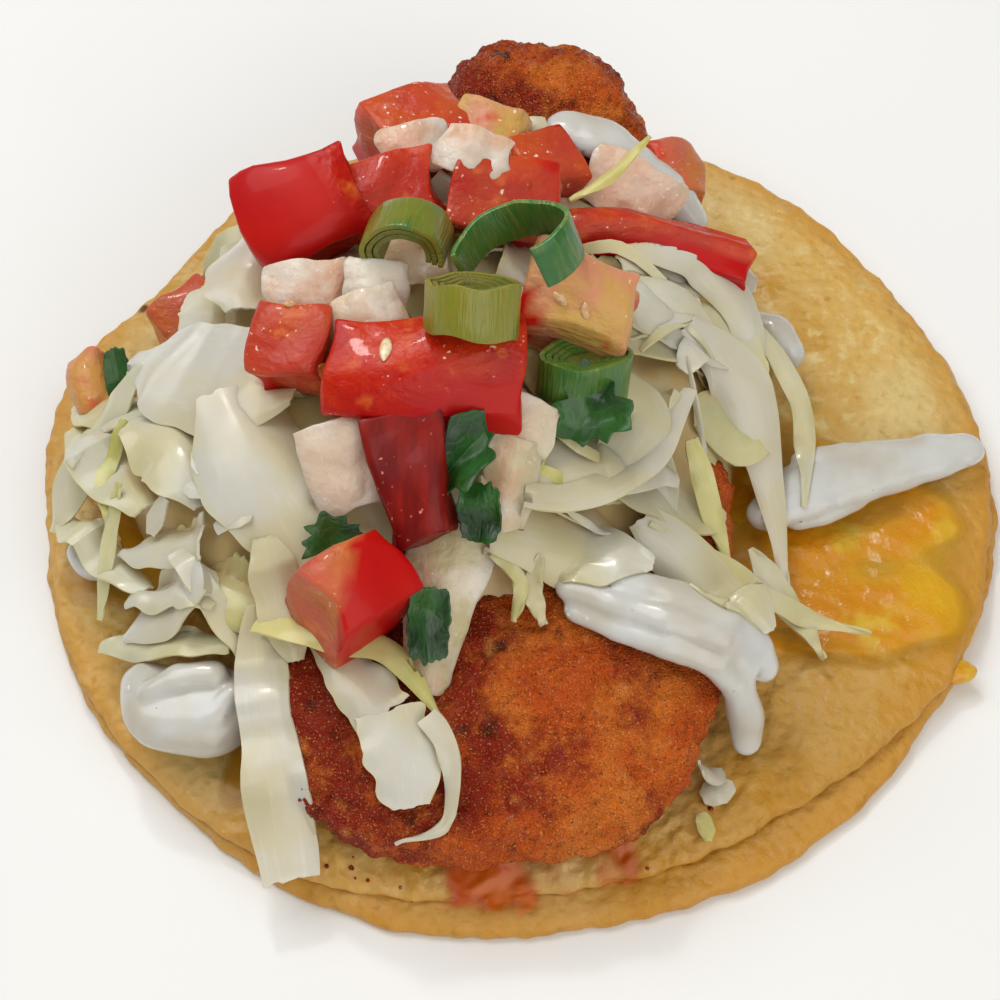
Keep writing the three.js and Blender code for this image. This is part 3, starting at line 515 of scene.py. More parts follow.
crust, tree, shader, place = new_finish(
    "fried_crust",
    {"Specular IOR Level": 0.2, "Coat Weight": 0.05, "Coat Roughness": 0.15},
)
orange = colour(200, 84, 20)
gold = colour(216, 115, 36)
deep = colour(144, 34, 10)
burnt = colour(84, 28, 8)
shade = blend_colour(tree, patches(tree, place, 90, 0.42, 0.62, 6), orange, gold)
split = add_node(tree, "SeparateXYZ", {0: place}).outputs
left_side = add_node(
    tree, "MapRange", {"Value": split["X"], "From Min": 0.006, "From Max": -0.024, "To Max": 0.16}
).outputs[0]
to_back = add_node(
    tree, "MapRange", {"Value": split["Y"], "From Min": 0.03, "From Max": 0.06, "To Max": 0.06}
).outputs[0]
redness = add_node(
    tree,
    "TexNoise",
    {"Vector": moved(tree, place, (0.4, 0.3, 0)), "Scale": 70.0, "Detail": 7.0, "Roughness": 0.66},
)
redder = add_node(tree, "Math", {0: redness.outputs[0], 1: left_side}, operation="ADD").outputs[0]
redder = add_node(tree, "Math", {0: redder, 1: to_back}, operation="ADD").outputs[0]
red_mask = add_node(
    tree, "MapRange", {"Value": redder, "From Min": 0.49, "From Max": 0.64}, interpolation_type="SMOOTHSTEP"
)
shade = blend_colour(tree, red_mask.outputs[0], shade, deep)
shade = blend_colour(
    tree, patches(tree, moved(tree, place, (0.8, 0.1, 0)), 210, 0.6, 0.76, 5), shade, burnt
)
blisters = add_node(
    tree, "TexVoronoi", {"Vector": place, "Scale": 300.0}, feature="SMOOTH_F1"
).outputs["Distance"]
blister_mask = add_node(
    tree, "MapRange", {"Value": blisters, "From Min": 0.32, "From Max": 0.12, "To Max": 0.6}
).outputs[0]
blister_mask = add_node(
    tree,
    "Math",
    {0: blister_mask, 1: patches(tree, moved(tree, place, (0.5, 0.9, 0)), 60, 0.5, 0.6)},
    operation="MULTIPLY",
).outputs[0]
shade = blend_colour(tree, blister_mask, shade, colour(224, 142, 66))
crumb = add_node(
    tree, "TexNoise", {"Vector": place, "Scale": 1500.0, "Detail": 3.0, "Roughness": 0.7}
).outputs[0]
dark_crumb = add_node(
    tree, "MapRange", {"Value": crumb, "From Min": 0.44, "From Max": 0.3, "To Max": 0.75}
).outputs[0]
shade = blend_colour(tree, dark_crumb, shade, burnt)
# Painted highlights: tiny bright specks painted into the crust colour as the glitter of oil on its crumbs.
spark = add_node(
    tree, "TexNoise", {"Vector": moved(tree, place, (0.1, 0.1, 0.2)), "Scale": 3400.0, "Detail": 1.0}
).outputs[0]
painted_glitter = add_node(
    tree, "MapRange", {"Value": spark, "From Min": 0.6, "From Max": 0.74, "To Max": 0.6}
).outputs[0]
shade = blend_colour(tree, painted_glitter, shade, colour(240, 178, 100))
tree.links.new(shade, shader.inputs["Base Color"])
oily = add_node(
    tree, "MapRange", {"Value": spark, "From Min": 0.4, "From Max": 0.62, "To Min": 0.55, "To Max": 0.2}
)
tree.links.new(oily.outputs[0], shader.inputs["Roughness"])
height = add_node(tree, "Math", {0: crumb, 1: 0.8, 2: spark}, operation="MULTIPLY_ADD").outputs[0]
add_relief(tree, shader, height, 0.0007)

fillet = copy_of_node("fish_fillet")
finish_with(fillet, "REMESH", mode="VOXEL", voxel_size=CRUST_CELL)
finish_with(fillet, "SMOOTH", factor=0.5, iterations=12)
raise_relief(fillet, 0.007, 0.0022)
raise_relief(fillet, 0.0024, 0.0018)
raise_relief(fillet, 0.0009, 0.0009)
settle(fillet, "fried_fillet", crust, "fried_crust", "fish_fillet")

# ---- Crema ----
# Thick white sour cream sauce, spooned on in dollops and ribbons: some lies under the cabbage, one
# ribbon runs over the edge of the fillet and one is drawn out over the tortilla to its rim.

# A dollop is made of ribbons, and a ribbon of stops, each with its place, width and height.
CREMA = {
    "crema_front_left": [
        [((-51, -37, 10.5), 8, 7), ((-48, -41, 11), 12, 7.6), ((-42.5, -42.5, 11.6), 12.5, 8),
         ((-38, -40, 12), 9, 8)],
        [((-50, -40, 14.2), 3.6, 3), ((-46, -38.6, 15.4), 4.4, 3.4), ((-41, -38.4, 16), 4, 3)],
        [((-45, -44.5, 13.4), 3, 2.4), ((-41, -44, 14.4), 3.6, 2.8), ((-38.4, -41, 15.4), 3, 2.6)],
    ],
    "crema_left": [[((-62.3, -14, 9.2), 4.2, 3.8), ((-60, -16, 10), 6, 5), ((-56.8, -17, 11), 4.8, 4.8)]],
    "crema_front_right": [
        [((8, -33.2, 24.6), 4.6, 3), ((14, -36.2, 24.8), 5, 3.2), ((20, -38.4, 24.8), 5, 3.2),
         ((26, -40, 23.2), 5, 3.6), ((29.6, -41.4, 18.8), 5, 4.6), ((30.8, -43.2, 13.8), 5.2, 5.4),
         ((31.2, -45.4, 9.6), 4.4, 3)],
        [((7, -30.4, 25.8), 5, 3.2), ((13.4, -33.4, 26.2), 5.2, 3.4), ((20, -35.8, 26.4), 5.2, 3.4),
         ((26.6, -37.8, 25.4), 5, 3.8), ((30.6, -39.6, 20.4), 5, 4.6)],
        [((8.6, -27.8, 26), 4.6, 3), ((14.6, -30.4, 26.6), 5, 3.2), ((21.4, -32.8, 26.8), 5, 3.2),
         ((27.6, -35.2, 25.6), 5, 4), ((31.6, -37, 21), 5.2, 4.8), ((33.4, -38.4, 17.4), 4.6, 4)],
    ],
    "crema_stripe": [
        [((35.4, -8.4, 10.4), 6, 4), ((41, -4.4, 10), 9.4, 5.4), ((48, -1.8, 9.6), 9.4, 5.4),
         ((55, 0.8, 9.2), 8.2, 5), ((61, 2.8, 8.8), 7.4, 4.4), ((66, 4.3, 8.3), 6, 3.4)],
        [((40, -8.6, 9), 3.4, 2.4), ((44, -7.2, 9), 4, 2.4), ((49, -5, 8.8), 3.2, 2.2)],
        [((41, 0.4, 11.4), 3, 2), ((48, 2, 11), 3.2, 2), ((57, 3.4, 10), 2.8, 1.6)],
    ],
    "crema_knob": [[((35.6, 24, 12.2), 5, 5), ((38.4, 22, 12.5), 6.2, 6.6), ((40.8, 18.6, 12), 4.6, 5.6)]],
    "crema_back": [
        [
            ((7, 45.4, 33), 6.4, 3.6),
            ((12.6, 43.4, 32.2), 7.4, 4),
            ((18, 41.2, 29.6), 5.2, 3),
            ((23, 38.6, 25.6), 7, 4.6),
            ((26, 36, 22.4), 5, 3.8),
        ]
    ],
}

cream, tree, shader, place = new_finish(
    "sour_cream",
    {
        "Roughness": 0.24,
        "Subsurface Weight": 0.25,
        "Subsurface Scale": 0.002,
        "Subsurface Radius": (1.0, 0.92, 0.84),
        "Coat Weight": 0.35,
        "Coat Roughness": 0.1,
    },
)
shade = blend_colour(
    tree, patches(tree, place, 90, 0.35, 0.65), colour(206, 210, 211), colour(194, 190, 179)
)
tree.links.new(shade, shader.inputs["Base Color"])
add_relief(tree, shader, patches(tree, place, 120, 0.2, 0.8), 0.00015)


def between(first, second, share):
    return tuple(a + (b - a) * share for a, b in zip(first, second))


for node, ribbons in CREMA.items():
    bpy.ops.object.metaball_add(type="ELLIPSOID")
    blob = bpy.context.object
    blob.name = node + "_blob"
    blob.data.elements.clear()
    blob.data.resolution = blob.data.render_resolution = 0.45
    blob.data.threshold = 0.5
    for stops in ribbons:
        for (spot, wide, high), (next_spot, next_wide, next_high) in zip(stops, stops[1:]):
            steps = max(1, round((Vector(next_spot) - Vector(spot)).length / (0.21 * min(wide, next_wide))))
            for k in range(steps + 1):
                x, y, z, width, rise = between(
                    (*spot, wide, high), (*next_spot, next_wide, next_high), k / steps
                )
                ball = blob.data.elements.new(type="ELLIPSOID")
                ball.co = (x, y, z)
                ball.radius = 0.68 * width
                ball.size_x = ball.size_y = 1.0
                ball.size_z = rise / width
    pick(blob)
    bpy.ops.object.convert(target="MESH")
    blob = bpy.context.object
    blob.data.transform(Matrix.Scale(MM, 4))
    raise_relief(blob, 0.009, 0.0009)
    settle(blob, node.replace("crema", "cream"), cream, "crema", node)

# ---- Cabbage ----
# White cabbage cut by hand into leaves, ribbons and thin shreds, piled loosely over the fillet. The
# pieces lie on each other and under the salsa; the outer leaves have yellow-green edges.

SEAT = 7.55
HEAP_MIDDLE = (-10, 2)
HEAP_REACH = {"left": 52, "right": 46, "front": 42, "back": 44}
HEAP_RISE = 31
HEAP_LEAN = 0.15
CORE_DEPTH = 2.8
LEAF_THICK = 0.38
CLEAR = 0.35
REACH = 74
OPEN_SKY = 99.0
BED_STRIPS = 50
SHREDS = 13
CHOPPED_BITS = 4
FLANK_STRIPS = 84

# The path is the middle line of the piece, the widths run along it, and curl is how far the two
# edges bend down in degrees, the left one first as seen along the path. Roll turns the piece about
# its path, green tints it, tips narrow its ends, ragged tears them and frill waves its edges. Sink
# is how far it may press into the pile. A free piece isn't lifted over the pile or kept under the
# salsa.
LEAVES = (
    {"path": ((-64, 9, 13), (-58, 3, 21), (-51, -3, 27)), "width": (5, 9, 7), "curl": (50, 20),
     "green": 0.2},
    {"path": ((-63.5, 3, 16), (-58, -6, 21), (-51, -17, 25)), "width": (6, 11, 8), "curl": (40, 30),
     "green": 0.15},
    {"path": ((-65.3, -9.5, 11), (-58.8, -17.3, 15), (-51, -26, 18)), "width": (4, 7, 5), "curl": (60, 10),
     "green": 0.3},
    {"path": ((-54, -4, 27), (-47, -10, 30), (-42, -19, 29)), "width": (8, 12, 9), "curl": (40, 30),
     "green": 0.1},
    {"path": ((-47, 22, 24), (-44, 15, 29), (-45, 7, 31)), "width": (5, 8, 6), "curl": (30, 40),
     "green": 0.1},
    {"path": ((-35, 24, 37), (-38, 17, 35.5), (-38, 9, 36)), "width": (8, 12, 11), "curl": (10, 40),
     "roll": (14, 0), "frill": 0.3, "sink": 5},
    {"path": ((-40, -5, 36), (-36, -14, 35.5), (-32, -22, 33), (-27, -29, 29.5)), "width": (15, 17, 15, 9),
     "curl": (18, 34), "frill": 0.2, "sink": 3},
    {"path": ((-55, 9, 24), (-46.5, 2, 31), (-37.5, -3, 35.5), (-29.5, -6, 38.5)), "width": (7, 16, 17, 10),
     "curl": (14, 44), "frill": 0.25, "sink": 3, "tips": (0.5, 0.6)},
    {"path": ((-46, -25, 21), (-39, -30, 23), (-31, -36, 22)), "width": (4, 8, 6), "curl": (30, 50),
     "green": 0.7},
    {"path": ((-43, -23.5, 26), (-49.5, -22, 22), (-55.5, -20, 17.5)), "width": (7, 6, 1.5),
     "curl": (24, 24), "tips": (0.9, 0.3), "green": 0.1},
    {"path": ((-40.5, -28, 23), (-47.5, -29.5, 19.5), (-54.5, -31, 13)), "width": (5, 9, 4),
     "curl": (46, 40), "tips": (0.7, 0.3)},
    {"path": ((-34, -26.5, 30), (-31.5, -33, 26), (-29.5, -39.5, 21.5)), "width": (5, 7, 4),
     "curl": (20, 30), "green": 0.05},
    {"path": ((-35.4, -33, 22), (-34.7, -41.5, 15), (-33, -52, 9.6), (-30.3, -65, 7.4)),
     "width": (7, 7.4, 8, 8.6), "curl": (8, 8), "tips": (0.25, 0.9), "frill": 0.35, "roll": (0, 8)},
    {"path": ((-26, -36, 23), (-22, -43, 24), (-17.6, -49.4, 24.4)), "width": (5, 7.4, 8.6),
     "curl": (12, 25), "tips": (1, 1), "ragged": 0.4},
    {"path": ((-17.2, -49, 24.8), (-15.4, -54.5, 23.5), (-14, -60.4, 19.4)), "width": (9, 9.6, 8),
     "curl": (12, 14), "frill": 0.3, "tips": (1, 0.62), "ragged": 0.25},
    {"path": ((-5, -25.5, 33), (6, -26, 29), (13, -27, 26), (18.2, -28.5, 23)), "width": (8, 10, 9, 4),
     "curl": (10, 40), "green": 0.1},
    {"path": ((14.7, 18, 35), (25.3, 23, 28), (34.8, 22, 25)), "width": (5, 9, 7), "curl": (30, 40)},
    {"path": ((16, 20, 35), (26, 21.5, 31.5), (33, 16, 25), (34, 6, 19)), "width": (5, 8, 6, 3),
     "curl": (50, 40), "green": 0.1},
    {"path": ((24.3, 9.5, 32), (31.8, 4, 24), (36.2, -7.5, 14.5), (37.9, -20.5, 9.5)),
     "width": (6, 9.5, 4.2, 2), "curl": (30, 40)},
    {"path": ((11, -2, 38), (17, -8.5, 35), (11.5, -18, 33)), "width": (6, 9, 7), "curl": (40, 10),
     "green": 0.15},
    {"path": ((17, -20, 27), (25, -27, 22), (30, -32, 18), (34, -36, 11)), "width": (8, 10, 8, 4),
     "curl": (20, 40), "green": 0.1},
    {"path": ((-2, -20, 36), (10, -16, 34), (22, -14, 28)), "width": (6, 9, 6), "curl": (20, 40)},
)
RIBBONS = (
    {"path": ((-35, -35, 24), (-26, -38.5, 26.5), (-17, -41, 26), (-9.4, -50.5, 23.5)),
     "width": (3.6, 4.8, 4, 0.8), "curl": (30, 20), "green": 0.9, "tips": (1, 0.3)},
    {"path": ((-58, -30.5, 10), (-49.5, -32.5, 15), (-39, -36, 20)), "width": (3, 5.4, 4), "curl": (50, 30),
     "green": 0.3},
    {"path": ((-54, -27, 13), (-46.5, -29, 21), (-41, -32, 20)), "width": (2.5, 5, 3), "curl": (60, 40),
     "green": 0.1},
    {"path": ((-52, 4, 28.5), (-58.5, -1, 22), (-63, -6, 15.5), (-66, -12, 11)), "width": (4, 5.6, 6.4, 5),
     "curl": (30, 20), "green": 0.25, "roll": (0, 30)},
    {"path": ((-46.5, -24.5, 24), (-42, -30.5, 23.5), (-37, -37, 19)), "width": (3, 3.6, 3),
     "curl": (14, 14), "tips": (0.8, 0.8)},
    {"path": ((-55, -3, 26), (-57.5, -10, 21), (-56.5, -17, 17)), "width": (2, 2.8, 2), "curl": (30, 30),
     "green": 1.0},
    {"path": ((-55, -13, 25), (-56.7, -19.5, 19), (-58.2, -27, 11.5)), "width": (1.5, 2, 1.2),
     "curl": (10, 10), "green": 0.6},
    {"path": ((18, -21, 27), (31, -25, 19), (40, -26.5, 12), (49.5, -27.5, 8.6)),
     "width": (3, 3.6, 2.6, 0.5), "curl": (20, 20), "green": 0.4, "tips": (0.2, 0.2)},
    {"path": ((32.5, -18, 16), (38.3, -25, 11), (42.9, -31.5, 8.6)), "width": (4, 3.8, 0.8),
     "curl": (20, 20), "green": 0.4, "tips": (0.2, 0.2)},
    {"path": ((24, -8.5, 29), (26, -13.5, 25), (29.2, -21.5, 18)), "width": (2.4, 3.4, 2.4),
     "curl": (30, 20), "green": 0.8, "tips": (0.8, 0.3)},
    {"path": ((33.5, 16.5, 24), (39, 10.5, 19), (41.8, 3, 13.5), (41, -8.5, 9.5)),
     "width": (2.6, 3.2, 3, 1.4), "curl": (40, 20), "green": 0.2, "sink": 3},
    {"path": ((-3.5, -28.6, 31), (0.3, -31, 28), (-0.5, -35.5, 25)), "width": (1.2, 2, 1), "curl": (10, 10),
     "green": 0.6},
    {"path": ((3, -28, 30), (2, -32, 27), (3.5, -36, 25)), "width": (1.5, 2.6, 1.4), "curl": (10, 30),
     "green": 0.1},
    {"path": ((24, -2, 32), (17, -15, 33), (6, -22, 35), (-5, -21.5, 38)), "width": (3, 4.6, 4.4, 4),
     "curl": (30, 20)},
    {"path": ((7.6, 27.6, 37), (13.2, 30, 39.5), (19, 34, 43.5)), "width": (1, 2, 1), "curl": (20, 20),
     "green": 1.0, "frill": 0.2, "free": True, "ragged": 0.3},
    {
        "path": (
            (-12, -50, 25),
            (-9.4, -54, 24),
            (-8.6, -58.5, 20.5),
            (-10.2, -62, 15),
            (-16.2, -63.4, 9.6),
        ),
        "width": (3.6, 3, 2, 1.2, 0.5),
        "curl": (10, 10),
        "tips": (0.8, 0.3),
        "ragged": 0.3,
        "sink": 3,
    },
)


def heap_share(x, y):
    across = HEAP_REACH["left"] if x < HEAP_MIDDLE[0] else HEAP_REACH["right"]
    along = HEAP_REACH["front"] if y < HEAP_MIDDLE[1] else HEAP_REACH["back"]
    lean = HEAP_LEAN * (x - HEAP_MIDDLE[0])
    return math.hypot((x - HEAP_MIDDLE[0]) / across, (y - HEAP_MIDDLE[1] - lean) / along)


def heap_height(x, y):
    share = heap_share(x, y)
    return SEAT + HEAP_RISE * (1 - share**2.4) ** 0.6 if share < 1 else SEAT


def skins_of(pieces):
    """The surfaces of several pieces together, for finding what lies above or below a point."""
    points, faces = [], []
    for piece in pieces:
        first = len(points)
        points += [corner.co.copy() for corner in piece.data.vertices]
        faces += [[first + i for i in face.vertices] for face in piece.data.polygons]
    return BVHTree.FromPolygons(points, faces)


def core_outline(angle):
    across = HEAP_REACH["left"] if abs(angle) > 90 else HEAP_REACH["right"]
    along = HEAP_REACH["front"] if angle < 0 else HEAP_REACH["back"]
    return 0.90 / math.hypot(math.cos(math.radians(angle)) / across, sine(angle) / along)


core = round_slab(
    core_outline,
    lambda x, y: SEAT - 0.6,
    lambda x, y: max(SEAT, heap_height(x, y) - CORE_DEPTH + 0.8 * rough(x, y, 5, 2.0)),
    60,
    1.0,
    HEAP_MIDDLE,
)

leaf_white, tree, shader, place = new_finish(
    "cabbage_leaf",
    {
        "Subsurface Weight": 0.3, "Subsurface Scale": 0.0015, "Subsurface Radius": (1.0, 0.92, 0.7),
        "Coat Weight": 0.35, "Coat Roughness": 0.12,
    },
)
along_leaf = add_node(tree, "UVMap").outputs[0]
split = add_node(tree, "SeparateXYZ", {0: along_leaf}).outputs
tint = point_colours(tree, "leaf_tint")
white = blend_colour(
    tree, patches(tree, place, 60, 0.35, 0.65), colour(204, 204, 197), colour(203, 195, 162)
)
yellow = blend_colour(
    tree, patches(tree, place, 150, 0.35, 0.65), colour(208, 202, 122), colour(182, 180, 78)
)
from_edge = add_node(tree, "Math", {0: split["X"], 1: 0.5}, operation="SUBTRACT").outputs[0]
from_edge = add_node(tree, "Math", {0: from_edge}, operation="ABSOLUTE").outputs[0]
edge_mask = add_node(
    tree,
    "MapRange",
    {"Value": from_edge, "From Min": 0.42, "From Max": 0.5},
    interpolation_type="SMOOTHSTEP",
)
edge_mask = add_node(tree, "Math", {0: edge_mask.outputs[0], 1: tint[1]}, operation="MULTIPLY").outputs[0]
shade = blend_colour(tree, tint[0], white, yellow)
shade = blend_colour(tree, edge_mask, shade, colour(204, 198, 128))
# Painted shade: the tint's third channel turns leaves that lie under others warm tan.
shade = blend_colour(tree, tint[2], shade, colour(208, 178, 122))
veins_place = moved(tree, along_leaf, (0, 0, 0), (7, 2.2, 1))
veins = add_node(tree, "TexNoise", {"Vector": veins_place, "Scale": 1.6, "Detail": 3.0}).outputs[0]
vein_mask = add_node(
    tree, "MapRange", {"Value": veins, "From Min": 0.56, "From Max": 0.76, "To Max": 0.18}
).outputs[0]
shade = blend_colour(tree, vein_mask, shade, colour(238, 235, 224))
tree.links.new(shade, shader.inputs["Base Color"])
waxy = add_node(
    tree, "MapRange", {"Value": patches(tree, place, 200, 0.35, 0.65), "To Min": 0.3, "To Max": 0.5}
)
tree.links.new(waxy.outputs[0], shader.inputs["Roughness"])
crinkle = add_node(tree, "TexNoise", {"Vector": place, "Scale": 150.0, "Detail": 2.0}).outputs[0]
height = add_node(tree, "Math", {0: veins, 1: 0.15, 2: crinkle}, operation="MULTIPLY_ADD").outputs[0]
add_relief(tree, shader, height, 0.0005, 0.6)


def set_tint(piece, green, edge):
    layer = piece.data.color_attributes.new("leaf_tint", "FLOAT_COLOR", "POINT")
    layer.data.foreach_set("color", [green, edge, 0.0, 1.0] * len(piece.data.vertices))


# The core shows only in gaps deep in the heap; its yellower tint there is painted shade.
set_tint(core, 0.5, 0.2)
settle(core, "cabbage_core", leaf_white, "cabbage", "cabbage_heap")

ground_skins = skins_of(
    [upper_tortilla, cheese, fillet, core] + [bpy.data.objects[n.replace("crema", "cream")] for n in CREMA]
)
salsa_names = [n for n in frame["nodes"] if n.split("_")[0] in ("tomato", "onion", "green", "cilantro")]
salsa_skins = skins_of([frame["nodes"][n] for n in salsa_names])
ground, pile, roof = {}, {}, {}
for i in range(-REACH, REACH + 1):
    for j in range(-REACH, REACH + 1):
        below = ground_skins.ray_cast(Vector((i, j, 90)) * MM, Vector((0, 0, -1)))[0]
        ground[i, j] = pile[i, j] = below.z / MM if below else 0.0
        above = salsa_skins.ray_cast(Vector((i, j, SEAT)) * MM, Vector((0, 0, 1)))[0]
        roof[i, j] = above.z / MM if above else OPEN_SKY


def read(table, x, y):
    """Reads a height table smoothly between its whole millimetres."""
    x = max(-REACH, min(REACH - 0.001, x))
    y = max(-REACH, min(REACH - 0.001, y))
    i, j = math.floor(x), math.floor(y)
    a, b = x - i, y - j
    near = table[i, j] * (1 - a) + table[i + 1, j] * a
    far = table[i, j + 1] * (1 - a) + table[i + 1, j + 1] * a
    return near * (1 - b) + far * b


def curve_value(values, share):
    """A value, or a point, on the smooth curve through evenly spaced ones."""
    place = share * (len(values) - 1)
    i = min(int(place), len(values) - 2)
    a, b, c, d = (values[max(0, min(len(values) - 1, n))] for n in (i - 1, i, i + 1, i + 2))
    t = place - i
    return b + (c - a) * (t / 2) + (
        a * 2 - b * 5 + c * 4 - d
    ) * (t * t / 2) + (b * 3 - a - c * 3 + d) * (t**3 / 2)


def blank_strip(name, columns, steps):
    bpy.ops.mesh.primitive_grid_add(x_subdivisions=columns, y_subdivisions=steps, size=2, calc_uvs=True)
    blank = bpy.context.object
    blank.name = name
    return blank


def lay_strip(blank, steps, strip, draw):
    """Lays a copy of the blank along its path, over the pile, and raises the pile by what it covers."""
    piece = bpy.data.objects.new("strip", blank.data.copy())
    bpy.context.scene.collection.objects.link(piece)
    path = [Vector(point) for point in strip["path"]]
    line = [curve_value(path, k / steps) for k in range(steps + 1)]
    stride = (path[-1] - path[0]).length / steps
    for _ in range(3):
        for k in range(steps + 1):
            side = Vector(
                (
                    line[max(k - 1, 0)].y - line[min(k + 1, steps)].y,
                    line[min(k + 1, steps)].x - line[max(k - 1, 0)].x,
                )
            )
            side = side.normalized() * strip["width"][len(strip["width"]) // 2] * 0.3
            under = max(read(pile, line[k].x + side.x * u, line[k].y + side.y * u) for u in (-1, 0, 1))
            line[k].z = line[k].z if strip.get("free") else max(line[k].z, under + CLEAR)
        for _ in range(6):
            for k in range(1, steps):
                line[k].z = max(line[k].z, (line[k - 1].z + line[k + 1].z) / 2 - 0.08 * stride)
    frill, tips = strip.get("frill", 0.6), strip.get("tips", (0.6, 0.5))
    seed = draw.uniform(0, 50)
    slant = (draw.uniform(-0.5, 0.5), draw.uniform(-0.5, 0.5))
    frames = []
    for k, spot in enumerate(line):
        ahead = (line[min(k + 1, steps)] - line[max(k - 1, 0)]).normalized()
        across = Vector((-ahead.y, ahead.x, 0)).normalized()
        roll = curve_value(strip.get("roll", (0, 0)), k / steps) + 10 * rough(k * 16 / steps, seed, 9)
        turn = Matrix.Rotation(math.radians(roll), 3, ahead)
        frames.append((spot, ahead, turn @ across, turn @ ahead.cross(across)))
    for corner in piece.data.vertices:
        u, v = corner.co.x, (corner.co.y + 1) / 2
        k = round(v * steps)
        spot, ahead, across, up = frames[k]
        beat = v * 16
        width = curve_value(strip["width"], v) * curve_value((tips[0], 1, 1, 1, tips[1]), v)
        width *= 1 + 0.12 * rough(beat * 0.7, seed + 9 * (u > 0), 2.2)
        bend = math.radians(strip["curl"][0 if u > 0 else 1]) + 0.25 * rough(beat, seed + 20, 8)
        bend = bend if abs(bend) > 0.02 else 0.02
        out = math.sin(bend * abs(u)) / bend * math.copysign(1, u)
        drop = (1 - math.cos(bend * abs(u))) / bend
        wave = frill * u * u * rough(
            beat, seed + 4 * (u > 0), 3.4
        ) + 0.4 * frill * rough(beat, seed + u, 7.0)
        near_end = max(0, abs(2 * v - 1) - 0.8)
        ragged = 0.2 * width * (slant[v > 0.5] * u + 0.6 * rough(u * 3, seed, 1.0)) * near_end * 5
        ragged *= strip.get("ragged", 0.35)
        place = spot + across * (out * width / 2) + up * (wave - drop * width / 2) + ahead * ragged
        floor = max(
            read(ground, place.x, place.y) + CLEAR, read(pile, place.x, place.y) - strip.get("sink", 1.2)
        )
        place.z = max(place.z, floor)
        if not strip.get("free"):
            place.z = min(place.z, max(floor, read(roof, place.x, place.y) - 0.5))
        corner.co = place * MM
    for corner in piece.data.vertices:
        i, j = round(corner.co.x / MM), round(corner.co.y / MM)
        if (i, j) in pile:
            crest = max(heap_height(i, j) + 2.5, pile[i, j])
            pile[i, j] = min(crest, max(pile[i, j], corner.co.z / MM + 0.3))
    set_tint(piece, strip.get("green", 0.0) * 0.85 + 0.08 * draw.random(), draw.uniform(0.0, 0.5))
    return piece


def join_leaves(pieces, blank, name, *nodes):
    """Joins laid strips to one piece and gives the leaves their thickness."""
    bpy.data.objects.remove(blank)
    pick(*pieces)
    bpy.ops.object.join()
    heap = bpy.context.object
    finish_with(heap, "SOLIDIFY", thickness=LEAF_THICK * MM, offset=0)
    settle(heap, name, leaf_white, "cabbage", *nodes)
    bpy.ops.object.shade_smooth_by_angle(angle=math.radians(50))


def on_heap(x, y, share=0.97):
    """Whether a shred may lie here: on the heap, but not on the bare front of the fillet."""
    return heap_share(x, y) < share and not (-30 < x < 36 and y < -24 + 0.1 * x)


def loose_path(draw, x, y, length, lift, spread=math.pi):
    """A short bent path over the pile, outward from its middle give or take `spread`."""
    course = math.atan2(y - HEAP_MIDDLE[1], x - HEAP_MIDDLE[0]) + draw.uniform(-spread, spread)
    path = []
    for rise in (0.3, lift, 0.3):
        path.append((x, y, read(pile, x, y) + rise))
        x += length / 2 * math.cos(course)
        y += length / 2 * math.sin(course)
        course += draw.uniform(-0.9, 0.9)
    return path


def under_salsa(x, y):
    """Whether salsa hangs over this spot, or so near that the smoothed roof already drops."""
    return read(roof, x, y) < OPEN_SKY - 9


draw = random.Random(11)
short_blank = blank_strip("short_blank", 6, 16)
bed = []
while len(bed) < BED_STRIPS:
    x, y = draw.uniform(-60, 38), draw.uniform(-38, 48)
    path = loose_path(draw, x, y, draw.uniform(14, 28), draw.uniform(0.5, 2.5), 0.9)
    if not (on_heap(x, y) and on_heap(*path[1][:2]) and on_heap(*path[2][:2], 1.03)):
        continue
    if any(-53 < a < -22 and -30 < b < 11 for a, b, _ in path):
        continue
    wide = draw.uniform(6, 13)
    strip = {
        "path": path,
        "width": (wide * 0.6, wide, wide * 0.6),
        "curl": (draw.uniform(-25, 60), draw.uniform(-25, 60)),
        "roll": (draw.uniform(-20, 20), draw.uniform(-20, 20)),
        "green": draw.choice((0, 0, 0.1, 0.3, 0.6)),
        "frill": 0.4,
    }
    bed.append(lay_strip(short_blank, 16, strip, draw))
join_leaves(bed, short_blank, "cabbage_bed")

leaf_blank = blank_strip("leaf_blank", 14, 44)
join_leaves([lay_strip(leaf_blank, 44, leaf, draw) for leaf in LEAVES], leaf_blank, "cabbage_leaves")
ribbon_blank = blank_strip("ribbon_blank", 6, 40)
join_leaves(
    [lay_strip(ribbon_blank, 40, ribbon, draw) for ribbon in RIBBONS], ribbon_blank, "cabbage_ribbons"
)

shred_blank = blank_strip("shred_blank", 2, 12)
shreds = []
while len(shreds) < SHREDS:
    x, y = draw.uniform(-60, 38), draw.uniform(-34, 46)
    path = loose_path(draw, x, y, draw.uniform(6, 16), draw.uniform(0.5, 2.0))
    if under_salsa(x, y) or not (on_heap(x, y, 0.9) and on_heap(*path[2][:2])):
        continue
    if any(-60 < a < -22 and -34 < b < 13 for a, b, _ in path):
        continue
    wide = draw.uniform(0.7, 2.0)
    strip = {
        "path": path, "width": (wide * 0.7, wide, wide * 0.7), "curl": (20, 20), "frill": 0.2,
        "roll": (draw.uniform(-60, 60), draw.uniform(-60, 60)), "green": draw.choice((0, 0, 0.4, 1.0)),
    }
    shreds.append(lay_strip(shred_blank, 12, strip, draw))
join_leaves(shreds, shred_blank, "cabbage_shreds")

